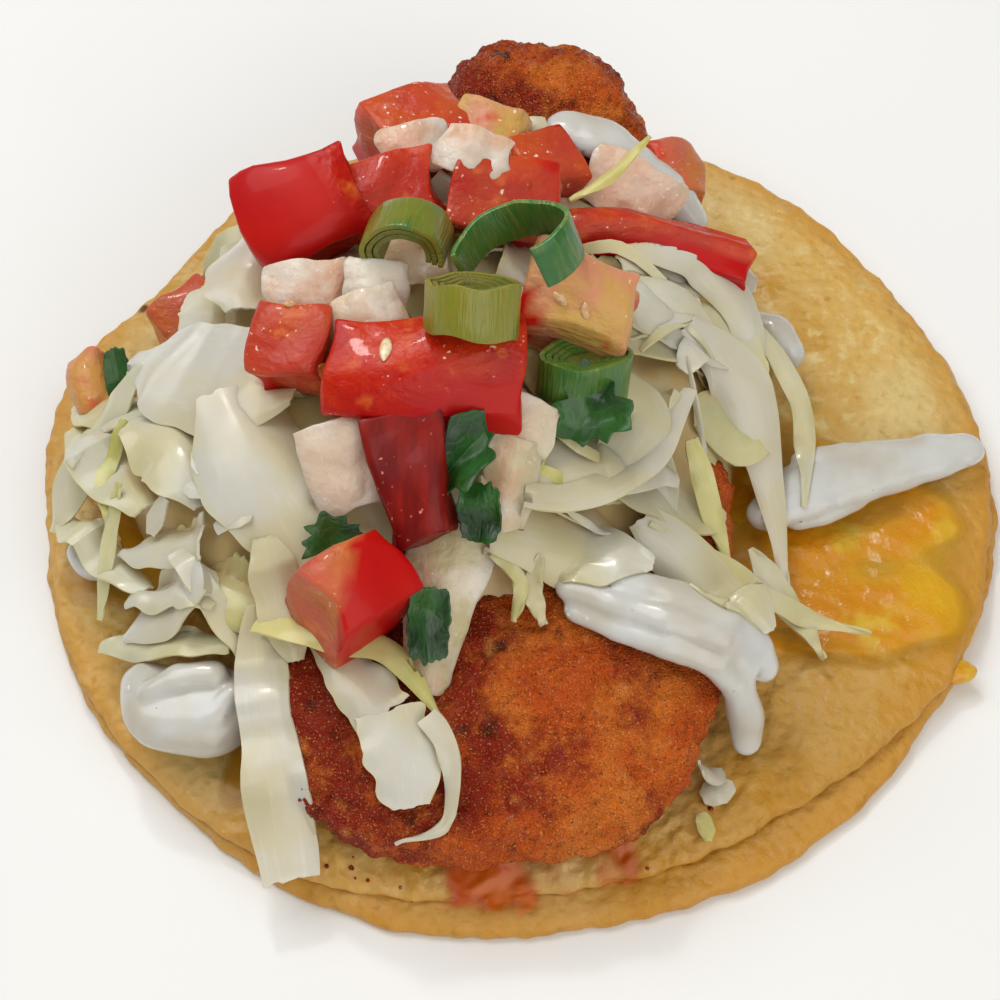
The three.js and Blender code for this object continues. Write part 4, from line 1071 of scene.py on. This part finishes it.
chopped_blank = blank_strip("chopped_blank", 2, 3)
chopped = []
while len(chopped) < CHOPPED_BITS:
    x, y = draw.gauss(-46, 3), draw.gauss(-18, 3)
    path = loose_path(draw, x, y, draw.uniform(3, 6), draw.uniform(0.1, 0.3))
    if under_salsa(x, y):
        continue
    wide = draw.uniform(1.6, 3.4)
    strip = {
        "path": path, "width": (wide, wide, wide), "curl": (20, 20), "frill": 0.4,
        "roll": (draw.uniform(-18, 18), draw.uniform(-18, 18)), "green": draw.choice((0, 0, 0, 0.4)),
    }
    chopped.append(lay_strip(chopped_blank, 3, strip, draw))
join_leaves(chopped, chopped_blank, "cabbage_chopped")

# At the back, where no large leaf lies, strips hang all down the side of the heap.
draw = random.Random(5)
flank_blank = blank_strip("flank_blank", 6, 16)
flank = []
while len(flank) < FLANK_STRIPS:
    x, y = draw.uniform(-60, 36), draw.uniform(9, 46)
    path = loose_path(draw, x, y, draw.uniform(12, 24), draw.uniform(0.3, 1.5), 1.1)
    if not (0.35 < heap_share(x, y) < 0.92 and 0.84 < heap_share(*path[2][:2]) < 1.06):
        continue
    if any(b < max(10 - 0.25 * a, 0.8 * a + 8) or a > -4 and b > 27 for a, b, _ in path):
        continue
    wide = draw.uniform(4, 10)
    strip = {
        "path": path,
        "width": (wide * 0.6, wide, wide * 0.6),
        "curl": (draw.uniform(-20, 50), draw.uniform(-20, 50)),
        "roll": (draw.uniform(-20, 20), draw.uniform(-20, 20)),
        "green": draw.choice((0, 0, 0.1, 0.4, 0.8)),
        "frill": 0.5,
    }
    flank.append(lay_strip(flank_blank, 16, strip, draw))
join_leaves(flank, flank_blank, "cabbage_flank")

# Deep between the leaves the light turns warm, so what lies under others gets a painted warm tan shade.
for name in ("cabbage_core", "cabbage_bed", "cabbage_leaves", "cabbage_ribbons", "cabbage_flank"):
    heap = bpy.data.objects[name]
    for corner, spot in zip(heap.data.vertices, heap.data.color_attributes["leaf_tint"].data):
        x, y, z = corner.co / MM
        around = sum(
            read(pile, x + 3.5 * a, y + 3.5 * b) for a, b in ((1, 0), (-1, 0), (0, 1), (0, -1))
        ) / 4
        painted_shade = min(1.0, max(0.0, (0.5 * around + 0.5 * read(pile, x, y) - z - 0.6) / 3))
        spot.color = (spot.color[0], spot.color[1], 0.85 * painted_shade, 1.0)

# ---- Tomato ----
# Ripe tomatoes cut by hand into uneven dice and slices. The skin side is deep red and satin; the cut
# sides are wet, paler and fibrous, and some pieces are nearly all pale core. Seeds lie on a few.

# The skin lies on the side that "skin" points to, from "from" on: -1 is the far side, 1 the near one.
# Pale tints the cut sides and dark the whole piece, taper narrows one end and bend curves it.
TOMATOES = (
    {"at": (-29, 23, 39.5), "size": (17, 14, 15), "turn": (28, -12, 24), "skin": (-0.6, -0.7, 0.25),
     "from": 0.02},
    {"at": (-12, -7, 42.5), "size": (25, 13, 11), "turn": (24, 2, -4), "skin": (0.45, -0.85, -0.3),
     "from": 0.5},
    {"at": (-14, -20, 37), "size": (10, 19, 8), "turn": (33, -6, 10), "taper": 0.2, "skin": (0, 0, 1),
     "from": -2, "dark": 0.85},
    {"at": (-22, -34, 29), "size": (12, 11, 14), "turn": (14, 8, 38), "skin": (0.95, -0.2, 0.1),
     "from": -0.05, "pale": 0.36},
    {"at": (-30, -2, 40), "size": (10, 10, 11), "turn": (18, -6, -8), "skin": (-0.8, 0, -0.5), "from": 0.5,
     "pale": 0.15},
    {"at": (8, 3, 44), "size": (14, 11, 11), "turn": (20, 6, -16), "skin": (-1, -0.1, 0), "from": 0.8,
     "pale": 1.0},
    {"at": (-15, 41, 33.5), "size": (14, 12, 12), "turn": (8, 12, 26), "skin": (-0.9, -0.3, 0), "from": 0.8,
     "pale": 0.15},
    {"at": (-17, 24, 41), "size": (12, 11, 9), "turn": (16, -6, 10), "skin": (0, 1, 0), "from": 0.8,
     "pale": 0.05},
    {"at": (-2, 24, 41), "size": (15, 11, 9), "turn": (20, 8, -8), "skin": (0, 1, 0), "from": 0.8,
     "pale": 0.1},
    {"at": (3, 36, 33), "size": (10, 9, 9), "turn": (14, 10, 32), "skin": (0, 1, 0), "from": 0.8,
     "pale": 0.15},
    {"at": (20, 26, 29.5), "size": (27, 7, 8), "turn": (18, 10, -3), "bend": -2, "skin": (0, -1, -0.35),
     "from": 0.3, "pale": 0.08},
    {"at": (22, 43, 23), "size": (9, 9, 9), "turn": (12, 22, 14), "skin": (0, 1, 0), "from": 0.8,
     "pale": 0.45},
    {"at": (-49, 25, 13), "size": (10, 8, 8), "turn": (22, -12, 36), "skin": (0, 0, 1), "from": 2,
     "pale": 0.3},
    {"at": (-60, 10, 14.5), "size": (6, 10, 9), "turn": (10, -24, 8), "skin": (0, 1, 0), "from": 0.8,
     "pale": 0.75},
    {"at": (-4, 40.5, 36), "size": (10, 9, 7), "turn": (24, 0, -14), "skin": (0, 1, 0), "from": 2,
     "pale": 1.0},
)
SEEDS = (
    {"at": (-17.5, -8.5), "long": 4.2, "turn": -58, "jelly": 0.0},
    {"at": (-26.2, -7.2), "long": 3.2, "turn": 20, "jelly": 1.0},
    {"at": (5.6, -0.4), "long": 2.6, "turn": 60, "jelly": 0.5},
    {"at": (9, -2), "long": 2.4, "turn": 10, "jelly": 0.6},
    {"at": (-30.5, 0.5), "long": 2.2, "turn": 130, "jelly": 0.4},
    {"at": (-8, -5), "long": 2.2, "turn": 100, "jelly": 0.8},
)

# Painted highlights: tiny bright glints of wet juice, painted into the colour of cut flesh, here and on the
# onion.
glint_group, given, result = new_group(
    "painted_glints", (("Vector", "Vector"), ("Scale", "Float")), (("Mask", "Float"),)
)
glint_noise = add_node(
    glint_group, "TexNoise", {"Vector": given["Vector"], "Scale": given["Scale"], "Detail": 1.0}
)
bright = add_node(glint_group, "MapRange", {"Value": glint_noise.outputs[0], "From Min": 0.68, "From Max": 0.76})
where = add_node(glint_group, "TexNoise", {"Vector": given["Vector"], "Scale": 190.0, "Detail": 2.0})
where = add_node(glint_group, "MapRange", {"Value": where.outputs[0], "From Min": 0.48, "From Max": 0.6})
both = add_node(glint_group, "Math", {0: bright.outputs[0], 1: where.outputs[0]}, operation="MULTIPLY")
glint_group.links.new(both.outputs[0], result["Mask"])


def painted_glints(tree, place, scale):
    return add_node(tree, "Group", {"Vector": place, "Scale": scale}, node_tree=glint_group).outputs["Mask"]


cut_tomato, tree, shader, place = new_finish(
    "cut_tomato",
    {
        "Specular IOR Level": 0.2, "Coat Roughness": 0.06, "Subsurface Weight": 0.12,
        "Subsurface Scale": 0.002, "Subsurface Radius": (1.0, 0.3, 0.2),
    },
)
sides = point_colours(tree, "cut_side")
skin_red = blend_colour(tree, patches(tree, place, 80, 0.4, 0.7), colour(184, 8, 12), colour(192, 22, 12))
flesh = blend_colour(tree, patches(tree, place, 110, 0.4, 0.62, 4), colour(182, 18, 8), colour(198, 50, 14))
flesh = blend_colour(
    tree, patches(tree, moved(tree, place, (0.2, 0.4, 0.1)), 240, 0.56, 0.74), flesh, colour(212, 92, 38)
)
core_shade = blend_colour(
    tree, patches(tree, place, 120, 0.38, 0.62, 4), colour(212, 146, 112), colour(206, 166, 92)
)
core_shade = blend_colour(
    tree,
    patches(tree, moved(tree, place, (0.6, 0.4, 0.1)), 110, 0.58, 0.7),
    core_shade,
    colour(206, 72, 46),
)
shade = blend_colour(tree, sides[1], flesh, core_shade)
# Painted highlights: glints painted into the colour of the cut flesh.
painted_glint = painted_glints(tree, place, 1250)
shade = blend_colour(tree, painted_glint, shade, colour(250, 226, 206))
shade = blend_colour(tree, sides[0], shade, skin_red)
streaks = patches(tree, moved(tree, place, (0.3, 0, 0), (2.4, 0.5, 1)), 150, 0.4, 0.66, 4)
shade = blend_colour(
    tree, sides[2], shade, blend_colour(tree, streaks, colour(82, 6, 8), colour(132, 22, 12))
)
# Painted highlights: the same glints painted again over the dark pieces.
painted_dark_glints = add_node(tree, "Math", {0: painted_glint, 1: sides[2]}, operation="MULTIPLY").outputs[0]
shade = blend_colour(tree, painted_dark_glints, shade, colour(226, 150, 122))
tree.links.new(shade, shader.inputs["Base Color"])
slick = add_node(tree, "MapRange", {"Value": sides[0], "To Min": 0.3, "To Max": 0.42})
tree.links.new(slick.outputs[0], shader.inputs["Roughness"])
wetness = add_node(tree, "MapRange", {"Value": sides[0], "To Min": 0.17, "To Max": 0.12})
tree.links.new(wetness.outputs[0], shader.inputs["Coat Weight"])
fibres = add_node(
    tree, "TexNoise", {"Vector": moved(tree, place, (0, 0, 0), (1, 1, 2.2)), "Scale": 420.0, "Detail": 4.0}
).outputs[0]
raw_side = add_node(tree, "MapRange", {"Value": sides[0], "To Min": 1.0, "To Max": 0.06}).outputs[0]
height = add_node(tree, "Math", {0: fibres, 1: raw_side}, operation="MULTIPLY").outputs[0]
add_relief(tree, shader, height, 0.0006)


def put(piece, at, turn):
    """Turns a piece made round its own middle, and moves it to its place, in its mesh."""
    matrix = Euler([math.radians(angle) for angle in turn]).to_matrix().to_4x4()
    matrix.translation = Vector(at) * MM
    piece.data.transform(matrix)


tomato_pieces = []
for number, cut in enumerate(TOMATOES, 1):
    size = Vector(cut["size"]) * MM
    bpy.ops.mesh.primitive_cube_add(size=1, scale=size)
    bpy.ops.object.transform_apply(location=False, rotation=False, scale=True)
    block = bpy.context.object
    bpy.ops.object.mode_set(mode="EDIT")
    bpy.ops.mesh.bevel(offset=0.0005, segments=2, affect="EDGES")
    bpy.ops.mesh.subdivide(number_cuts=6)
    bpy.ops.object.mode_set(mode="OBJECT")
    facing = Euler(
        [math.radians(angle) for angle in cut["turn"]]
    ).to_matrix().transposed() @ Vector(cut["skin"])

    def side_tone(spot):
        near = sum(2 * spot[i] / size[i] * facing[i] for i in range(3)) / 1.15
        near += 0.12 * noise.noise(spot / MM / 3 + Vector((number * 5.0, 0, 0)))
        skin = min(1.0, max(0.0, (near - cut["from"]) / 0.1))
        return skin, cut.get("pale", 0.0), cut.get("dark", 0.0)

    paint_points(block, "cut_side", side_tone)
    for corner in block.data.vertices:
        u, v, w = (2 * corner.co[i] / size[i] for i in range(3))
        crown = 0.16 * size.z * (1 - 0.5 * (u * u + v * v)) * max(0.0, w)
        narrow = 1 - cut.get("taper", 0) * (1 - v) / 2
        drift = Vector((u, v, w)) * 0.75 + Vector((number * 7.3, 0, 0))
        lean = Vector([noise.noise(drift + Vector((0, axis * 3.1, 0))) for axis in range(3)])
        x = corner.co.x * narrow
        y = corner.co.y + cut.get("bend", 0) * MM * u * u * narrow * narrow
        corner.co = Vector((x, y, corner.co.z + crown)) + lean * 0.16 * size.length / 1.7
    raise_relief(block, 0.0034, 0.0006)
    put(block, cut["at"], cut["turn"])
    slot = "pale_tomato" if number in (6, 10, 14, 15) else "tomato"
    tomato_pieces.append(settle(block, f"tomato_piece_{number}", cut_tomato, slot, f"tomato_{number}"))

seed_husk, tree, shader, place = new_finish(
    "tomato_seed",
    {
        "Roughness": 0.12,
        "Coat Weight": 0.8,
        "Coat Roughness": 0.05,
        "Subsurface Weight": 0.4,
        "Subsurface Scale": 0.001,
    },
)
jelly = point_colours(tree, "jelly")[0]
pale_husk = blend_colour(
    tree, patches(tree, place, 900, 0.4, 0.6), colour(246, 232, 202), colour(236, 210, 160)
)
amber = blend_colour(tree, patches(tree, place, 500, 0.4, 0.6), colour(206, 132, 30), colour(170, 92, 20))
tree.links.new(blend_colour(tree, jelly, pale_husk, amber), shader.inputs["Base Color"])
add_relief(tree, shader, patches(tree, place, 1200, 0.2, 0.8), 0.0002)
salsa_top = skins_of(tomato_pieces)
seeds = []
for grain in SEEDS:
    spot, facing = salsa_top.ray_cast(Vector((*grain["at"], 90)) * MM, Vector((0, 0, -1)))[:2]
    bpy.ops.mesh.primitive_uv_sphere_add(segments=16, ring_count=10, radius=grain["long"] / 2 * MM)
    seed = bpy.context.object
    for corner in seed.data.vertices:
        tip = 1 - 0.35 * max(0.0, corner.co.x / (grain["long"] / 2 * MM))
        slim = 0.42 + 0.28 * grain["jelly"]
        corner.co = Vector((corner.co.x, corner.co.y * slim * tip, corner.co.z * slim * 0.8 * tip))
    paint_points(seed, "jelly", lambda spot: (grain["jelly"],) * 3)
    lie = facing.to_track_quat("Z", "X").to_matrix() @ Matrix.Rotation(math.radians(grain["turn"]), 3, "Z")
    matrix = lie.to_4x4()
    matrix.translation = spot + facing * 0.1 * MM
    seed.data.transform(matrix)
    seeds.append(seed)
pick(*seeds)
bpy.ops.object.join()
settle(bpy.context.object, "tomato_seeds", seed_husk, "pale_tomato")

# ---- Green onion ----
# Slices of the green leaves of spring onions: ribbed tubes, dark green outside, with paler moist
# inner leaves and a soft middle. One is half a ring, and one has sprung open to a wide curl.

# Squash flattens a ring across, arc and start give the part of the turn that is left, and light is
# how pale its leaf is.
RINGS = (
    {"at": (-6, -4.5, 53.5), "turn": (-40, 4, 0), "radius": 6.5, "height": 7, "squash": 0.85, "light": 0.95,
     "filled": True},
    {"at": (-15, 9.5, 49), "turn": (76, 0, -12), "radius": 6, "height": 6.5, "arc": 212, "start": -4,
     "light": 0.7, "leaves": 3},
    {"at": (-0.5, 4.5, 54), "turn": (-14, -22, 0), "radius": 8.6, "height": 6, "arc": 246, "start": -60,
     "squash": 0.8, "light": 0.0},
    {"at": (9, -6, 41), "turn": (-20, 10, 12), "radius": 6.5, "height": 6.5, "squash": 0.7, "light": 0.15,
     "filled": True},
)


def leek_finish(name, dark, light, rib):
    finish, tree, shader, place = new_finish(
        name,
        {
            "Roughness": 0.3,
            "Coat Weight": 0.3,
            "Coat Roughness": 0.12,
            "Subsurface Weight": 0.2,
            "Subsurface Scale": 0.0015,
        },
    )
    round_leaf = moved(tree, add_node(tree, "UVMap").outputs[0], (0, 0, 0), (44, 1.0, 1))
    ribs = add_node(tree, "TexNoise", {"Vector": round_leaf, "Scale": 1.6, "Detail": 2.0}).outputs[0]
    tint = point_colours(tree, "leaf_tint")
    shade = blend_colour(tree, tint[0], dark, light)
    rib_mask = add_node(
        tree, "MapRange", {"Value": ribs, "From Min": 0.45, "From Max": 0.7, "To Max": 0.5}
    ).outputs[0]
    shade = blend_colour(tree, rib_mask, shade, rib)
    shade = blend_colour(tree, patches(tree, place, 150, 0.5, 0.75), shade, dark)
    tree.links.new(shade, shader.inputs["Base Color"])
    add_relief(tree, shader, ribs, 0.0003)
    return finish


leaf_outer = leek_finish(
    "onion_leaf_outer", colour(40, 106, 40), colour(138, 134, 34), colour(116, 138, 46)
)
leaf_inner = leek_finish(
    "onion_leaf_inner", colour(58, 116, 46), colour(130, 122, 44), colour(120, 128, 54)
)
leaf_cut = leek_finish("onion_leaf_cut", colour(58, 122, 46), colour(146, 142, 44), colour(158, 154, 66))


LEAF_FINISHES = (leaf_outer, leaf_inner, leaf_cut)
LEAF_WALL = 0.8
LEAF_STEP = 0.95


def onion_tube(ring, radius, height):
    """A length of leaf: an open tube, slit if its arc is less than a full turn, with a thick wall."""
    bpy.ops.mesh.primitive_cylinder_add(
        vertices=64, radius=radius * MM, depth=height * MM, end_fill_type="NOTHING"
    )
    tube = bpy.context.object
    bpy.ops.object.mode_set(mode="EDIT")
    bpy.ops.mesh.subdivide(number_cuts=2)
    bpy.ops.mesh.select_mode(type="FACE")
    bpy.ops.mesh.select_all(action="DESELECT")
    bpy.ops.object.mode_set(mode="OBJECT")
    for face in tube.data.polygons:
        face.select = math.degrees(math.atan2(face.center.y, face.center.x)) % 360 > ring.get("arc", 360)
    bpy.ops.object.mode_set(mode="EDIT")
    bpy.ops.mesh.delete(type="FACE")
    bpy.ops.object.mode_set(mode="OBJECT")
    tube.data.transform(Matrix.Rotation(math.radians(ring.get("start", 0)), 4, "Z"))
    for corner in tube.data.vertices:
        turn = math.atan2(corner.co.y, corner.co.x)
        swell = 1 + 0.05 * rough(
            1.4 * math.cos(turn), 1.4 * math.sin(turn), 1.0, ring["radius"] + corner.co.z * 60
        )
        tilt = 0.5 * rough(1.2 * math.cos(turn), 1.2 * math.sin(turn), 1.0, 5.0 + ring["light"]) * MM
        tilt += 0.05 * corner.co.x * (1 if corner.co.z > 0 else -1)
        corner.co = Vector(
            (corner.co.x * swell, corner.co.y * swell * ring.get("squash", 1), corner.co.z + tilt)
        )
    for finish in LEAF_FINISHES:
        tube.data.materials.append(finish)
    finish_with(
        tube, "SOLIDIFY", thickness=LEAF_WALL * MM, offset=-1, material_offset=1, material_offset_rim=2
    )
    finish_with(
        tube, "BEVEL", width=0.2 * MM, segments=2, limit_method="ANGLE", angle_limit=math.radians(50)
    )
    set_tint(tube, ring["light"], 0.0)
    return tube


# The outer leaf is one tube. In a filled slice the younger leaves stand close inside it, round a
# soft middle; the half ring keeps some of them, and the wide curl has only its own leaf.
for number, ring in enumerate(RINGS, 1):
    outer = onion_tube(ring, ring["radius"], ring["height"])
    parts = [outer]
    for depth in range(1, 4 if ring.get("filled") else ring.get("leaves", 1)):
        inner = onion_tube(ring, ring["radius"] - depth * LEAF_STEP, ring["height"] - 0.45 * depth)
        for face in inner.data.polygons:
            face.material_index = 1
        parts.append(inner)
    if ring.get("filled"):
        bpy.ops.mesh.primitive_uv_sphere_add(segments=32, ring_count=16, radius=(ring["radius"] - 3.0) * MM)
        middle = bpy.context.object
        for corner in middle.data.vertices:
            lift = (ring["height"] / 2 - 1.8) * MM + 0.2 * rough(
                corner.co.x / MM, corner.co.y / MM, 2.0, number
            ) * MM
            corner.co = Vector((corner.co.x, corner.co.y * ring["squash"], corner.co.z * 0.3 + lift))
        for finish in LEAF_FINISHES:
            middle.data.materials.append(finish)
        for face in middle.data.polygons:
            face.material_index = 1
        set_tint(middle, 0.7, 0.0)
        parts.append(middle)
    pick(*parts)
    bpy.ops.object.join()
    put(outer, ring["at"], ring["turn"])
    settle(outer, f"green_onion_slice_{number}", None, "green_onion", f"green_onion_{number}")
    bpy.ops.object.shade_smooth_by_angle(angle=math.radians(40))

# ---- Onion ----
# Raw white onion chopped by hand: thin curved layers, wet and half translucent, tinged pink and
# orange by the tomato juice, with a fine grain and tiny glints painted into the colour as highlights.

# Pink and olive are how far the juice has tinted a piece.
ONIONS = (
    {"at": (-29, 6, 44.5), "size": (11, 7, 3), "turn": (30, -6, 4), "pink": 1.0},
    {"at": (-19, 5, 47), "size": (8, 6, 2.6), "turn": (28, 6, -6), "pink": 0.1},
    {"at": (-20, -1, 47), "size": (9, 7, 2.6), "turn": (26, -8, 22), "pink": 0.7, "olive": 0.2},
    {"at": (-23, -19, 38), "size": (13, 12, 3.2), "turn": (42, -6, 8), "taper": 0.4, "pink": 0.5},
    {"at": (-10.5, -34, 27), "size": (12, 23, 2.8), "turn": (26, 4, -8), "taper": 0.6, "pink": 0.1,
     "olive": 0.8},
    {"at": (-1, -13, 41), "size": (13, 7, 3), "turn": (34, 10, -24), "pink": 0.3, "olive": 0.3},
    {"at": (-1, -21, 36), "size": (7, 13, 2.8), "turn": (38, 12, -8), "taper": 0.2, "pink": 0.1,
     "olive": 0.6},
    {"at": (-14, 32, 43.5), "size": (9, 7, 2.6), "turn": (18, 4, 14), "pink": 1.0},
    {"at": (-6, 27, 48), "size": (10, 7, 2.6), "turn": (22, 8, -20), "pink": 1.0},
    {"at": (17, 35, 30), "size": (14, 9, 3), "turn": (32, 24, -18), "pink": 0.9},
    {"at": (-14, 13, 43.5), "size": (8, 9, 2.8), "turn": (24, 0, 10), "pink": 0.7, "olive": 0.5},
)

raw_onion, tree, shader, place = new_finish(
    "raw_onion",
    {
        "Roughness": 0.22,
        "Coat Weight": 0.4,
        "Coat Roughness": 0.05,
        "Subsurface Weight": 0.5,
        "Subsurface Scale": 0.003,
        "Subsurface Radius": (1.0, 0.85, 0.72),
        "Transmission Weight": 0.2,
        "IOR": 1.36,
    },
)
tone = point_colours(tree, "juice_tint")
grain_place = moved(tree, add_node(tree, "UVMap").outputs[0], (0, 0, 0), (6, 1.2, 1))
grain = add_node(tree, "TexNoise", {"Vector": grain_place, "Scale": 1.5, "Detail": 3.0}).outputs[0]
shade = blend_colour(tree, tone[0], colour(248, 240, 226), colour(236, 194, 168))
shade = blend_colour(tree, tone[1], shade, colour(206, 198, 142))
shade = blend_colour(tree, patches(tree, place, 110, 0.5, 0.75), shade, colour(232, 188, 154))
grain_mask = add_node(
    tree, "MapRange", {"Value": grain, "From Min": 0.5, "From Max": 0.7, "To Max": 0.4}
).outputs[0]
shade = blend_colour(tree, grain_mask, shade, colour(240, 230, 210))
frosty = patches(tree, moved(tree, place, (0.3, 0.8, 0)), 140, 0.45, 0.7, 5)
shade = blend_colour(tree, frosty, shade, colour(246, 236, 224))
# Painted highlights: tiny wet glints painted into the colour.
shade = blend_colour(tree, painted_glints(tree, place, 1250), shade, colour(255, 254, 250))
tree.links.new(shade, shader.inputs["Base Color"])
wet = add_node(tree, "TexNoise", {"Vector": place, "Scale": 700.0, "Detail": 3.0}).outputs[0]
add_relief(tree, shader, wet, 0.00045)

for number, cut in enumerate(ONIONS, 1):
    bpy.ops.mesh.primitive_grid_add(x_subdivisions=18, y_subdivisions=18, size=2, calc_uvs=True)
    petal = bpy.context.object
    wide, long, thick = cut["size"]
    for corner in petal.data.vertices:
        u, v = corner.co.x, corner.co.y
        narrow = 1 - cut.get("taper", 0) * (1 - v) / 2
        worn = 1 - 0.1 * (abs(u) * abs(v)) ** 3
        x = u * narrow * worn * wide / 2 * (1 + 0.16 * rough(v * 0.8, number, 1.0, 3.0 + (u > 0)))
        y = v * worn * long / 2 * (1 + 0.16 * rough(u * 0.8, number, 1.0, 6.0 + (v > 0)))
        arch = -0.5 * thick * (u * u + 0.3 * v * v) + 0.35 * rough(x, y, 3.5, number)
        corner.co = Vector((x, y, arch)) * MM
    finish_with(petal, "SOLIDIFY", thickness=thick * 0.8 * MM, offset=0)
    finish_with(
        petal, "BEVEL", width=0.16 * MM, segments=2, limit_method="ANGLE", angle_limit=math.radians(50)
    )
    raise_relief(petal, 0.0045, 0.0008)
    put(petal, cut["at"], cut["turn"])
    paint_points(petal, "juice_tint", lambda spot: (cut.get("pink", 0.0), cut.get("olive", 0.0), 0.0))
    settle(petal, f"onion_piece_{number}", raw_onion, "onion", f"onion_{number}")

# ---- Cilantro ----
# Chopped cilantro leaves, thin and crumpled, with toothed lobes, and one piece of flat stem. They
# cling to the wet salsa.

SPRIGS = (
    {"at": (10, -12, 41), "size": (13, 12), "turn": (30, 8, -38)},
    {"at": (-8, -20, 40.5), "size": (9, 17), "turn": (34, 14, -42), "fold": 0.7, "wave": 1.3},
    {"at": (-5, -26, 37), "size": (6, 8), "turn": (46, -10, -12), "torn": True},
    {"at": (-12, -38, 28.5), "size": (6, 10), "turn": (40, 14, 8), "torn": True},
    {"at": (-25, -27, 33), "size": (10, 6.5), "turn": (36, -4, 18)},
    {"at": (-57, 8, 20), "size": (4, 10), "turn": (40, -10, 4), "wave": 0.3, "torn": True},
    {"at": (-22, -11, 42), "size": (1.8, 7), "turn": (40, 0, 4), "wave": 0.2, "torn": True},
)

leaf_green, tree, shader, place = new_finish(
    "cilantro_leaf",
    {
        "Roughness": 0.4,
        "Coat Weight": 0.25,
        "Coat Roughness": 0.15,
        "Subsurface Weight": 0.1,
        "Subsurface Scale": 0.001,
    },
)
leaf_place = add_node(tree, "UVMap").outputs[0]
cells = add_node(
    tree, "TexVoronoi", {"Vector": leaf_place, "Scale": 6.0}, feature="DISTANCE_TO_EDGE"
).outputs["Distance"]
vein_mask = add_node(
    tree, "MapRange", {"Value": cells, "From Min": 0.04, "From Max": 0.0, "To Max": 0.2}
).outputs[0]
shade = blend_colour(tree, patches(tree, place, 160, 0.35, 0.65), colour(12, 50, 24), colour(38, 94, 34))
shade = blend_colour(tree, vein_mask, shade, colour(92, 138, 66))
tree.links.new(shade, shader.inputs["Base Color"])
add_relief(tree, shader, cells, 0.0002)

for number, sprig in enumerate(SPRIGS, 1):
    bpy.ops.mesh.primitive_grid_add(x_subdivisions=44, y_subdivisions=44, size=2, calc_uvs=True)
    leaf = bpy.context.object
    wide, long = sprig["size"]
    for corner in leaf.data.vertices:
        u, v = corner.co.x, corner.co.y
        x, y = u * math.sqrt(1 - v * v / 2), v * math.sqrt(1 - u * u / 2)
        angle = math.atan2(x, -y)
        away = min(1.0, math.hypot(x, y))
        lobes = 0.5 + 0.4 * abs(1 - (1.5 * angle / math.pi + 0.1 * number) % 1 * 2)
        nicks = 0.1 * rough(2 * math.cos(angle), 2 * math.sin(angle), 1.0, number)
        teeth = 0.2 * abs((angle * 2.9 + number) % 2 - 1) ** 1.5 + nicks
        reach = 1 + (lobes + teeth - 1) * away**1.5
        if sprig.get("torn"):
            x, y = u * (1 - 0.2 * v * v), v * (1 - 0.12 * u * u)
            reach = 1 + 0.08 * rough(3 * u, 3 * v, 1.0, number) * away
        x, y = x * reach * wide / 2, y * reach * long / 2
        drop = sprig.get("fold", 0.3) * abs(x) + sprig.get("wave", 0.9) * 0.8 * rough(
            x, y, 3.6, number * 3.7
        )
        corner.co = Vector((x, y, drop)) * MM
    finish_with(leaf, "SOLIDIFY", thickness=0.25 * MM, offset=0)
    put(leaf, sprig["at"], sprig["turn"])
    settle(leaf, f"cilantro_leaf_{number}", leaf_green, "cilantro", f"cilantro_{number}")

# ---- Crumbs and scraps ----
# Crumbs of crust that fell round the fillet, and one green and two white scraps of cabbage that
# fell on the bare tortilla.

CRUMBS = 16

draw = random.Random(29)
crumbs = []
while len(crumbs) < CRUMBS:
    angle = draw.uniform(-150, -20)
    x, y = 31 * math.cos(math.radians(angle)) - 3, -41 + 25 * sine(angle)
    x, y = x * draw.uniform(1.0, 1.12), y * draw.uniform(1.0, 1.03)
    if read(ground, x, y) < LOWER_TOP:
        continue
    bpy.ops.mesh.primitive_ico_sphere_add(subdivisions=2, radius=draw.uniform(0.14, 0.36) * MM)
    crumb = bpy.context.object
    for corner in crumb.data.vertices:
        corner.co *= 1 + 0.5 * noise.noise(corner.co / MM * 2 + Vector((len(crumbs) * 3.0, 0, 0)))
    crumb.data.transform(Matrix.Translation(Vector((x, y, read(ground, x, y) + 0.15)) * MM))
    crumbs.append(crumb)
pick(*crumbs)
bpy.ops.object.join()
settle(bpy.context.object, "crust_crumbs", crust, "fried_crust")

scrap_blank = blank_strip("scrap_blank", 6, 8)
scraps = [
    {"path": ((24.8, -54.8, 7), (25.4, -57, 7), (25.6, -59, 7)), "width": (1.8, 2.2, 1.2), "curl": (20, 10),
     "green": 1.0, "frill": 0.2},
    {"path": ((25, -52.4, 7), (27, -51.6, 7.6), (29.4, -50.6, 7)), "width": (2.8, 4, 2.8), "curl": (24, 20),
     "frill": 0.3},
    {"path": ((24.6, -50.4, 7), (26.6, -50, 7.4), (28, -48.6, 7)), "width": (2.2, 3.2, 2.2),
     "curl": (24, 20), "frill": 0.3},
]
join_leaves([lay_strip(scrap_blank, 8, scrap, draw) for scrap in scraps], scrap_blank, "cabbage_scraps")
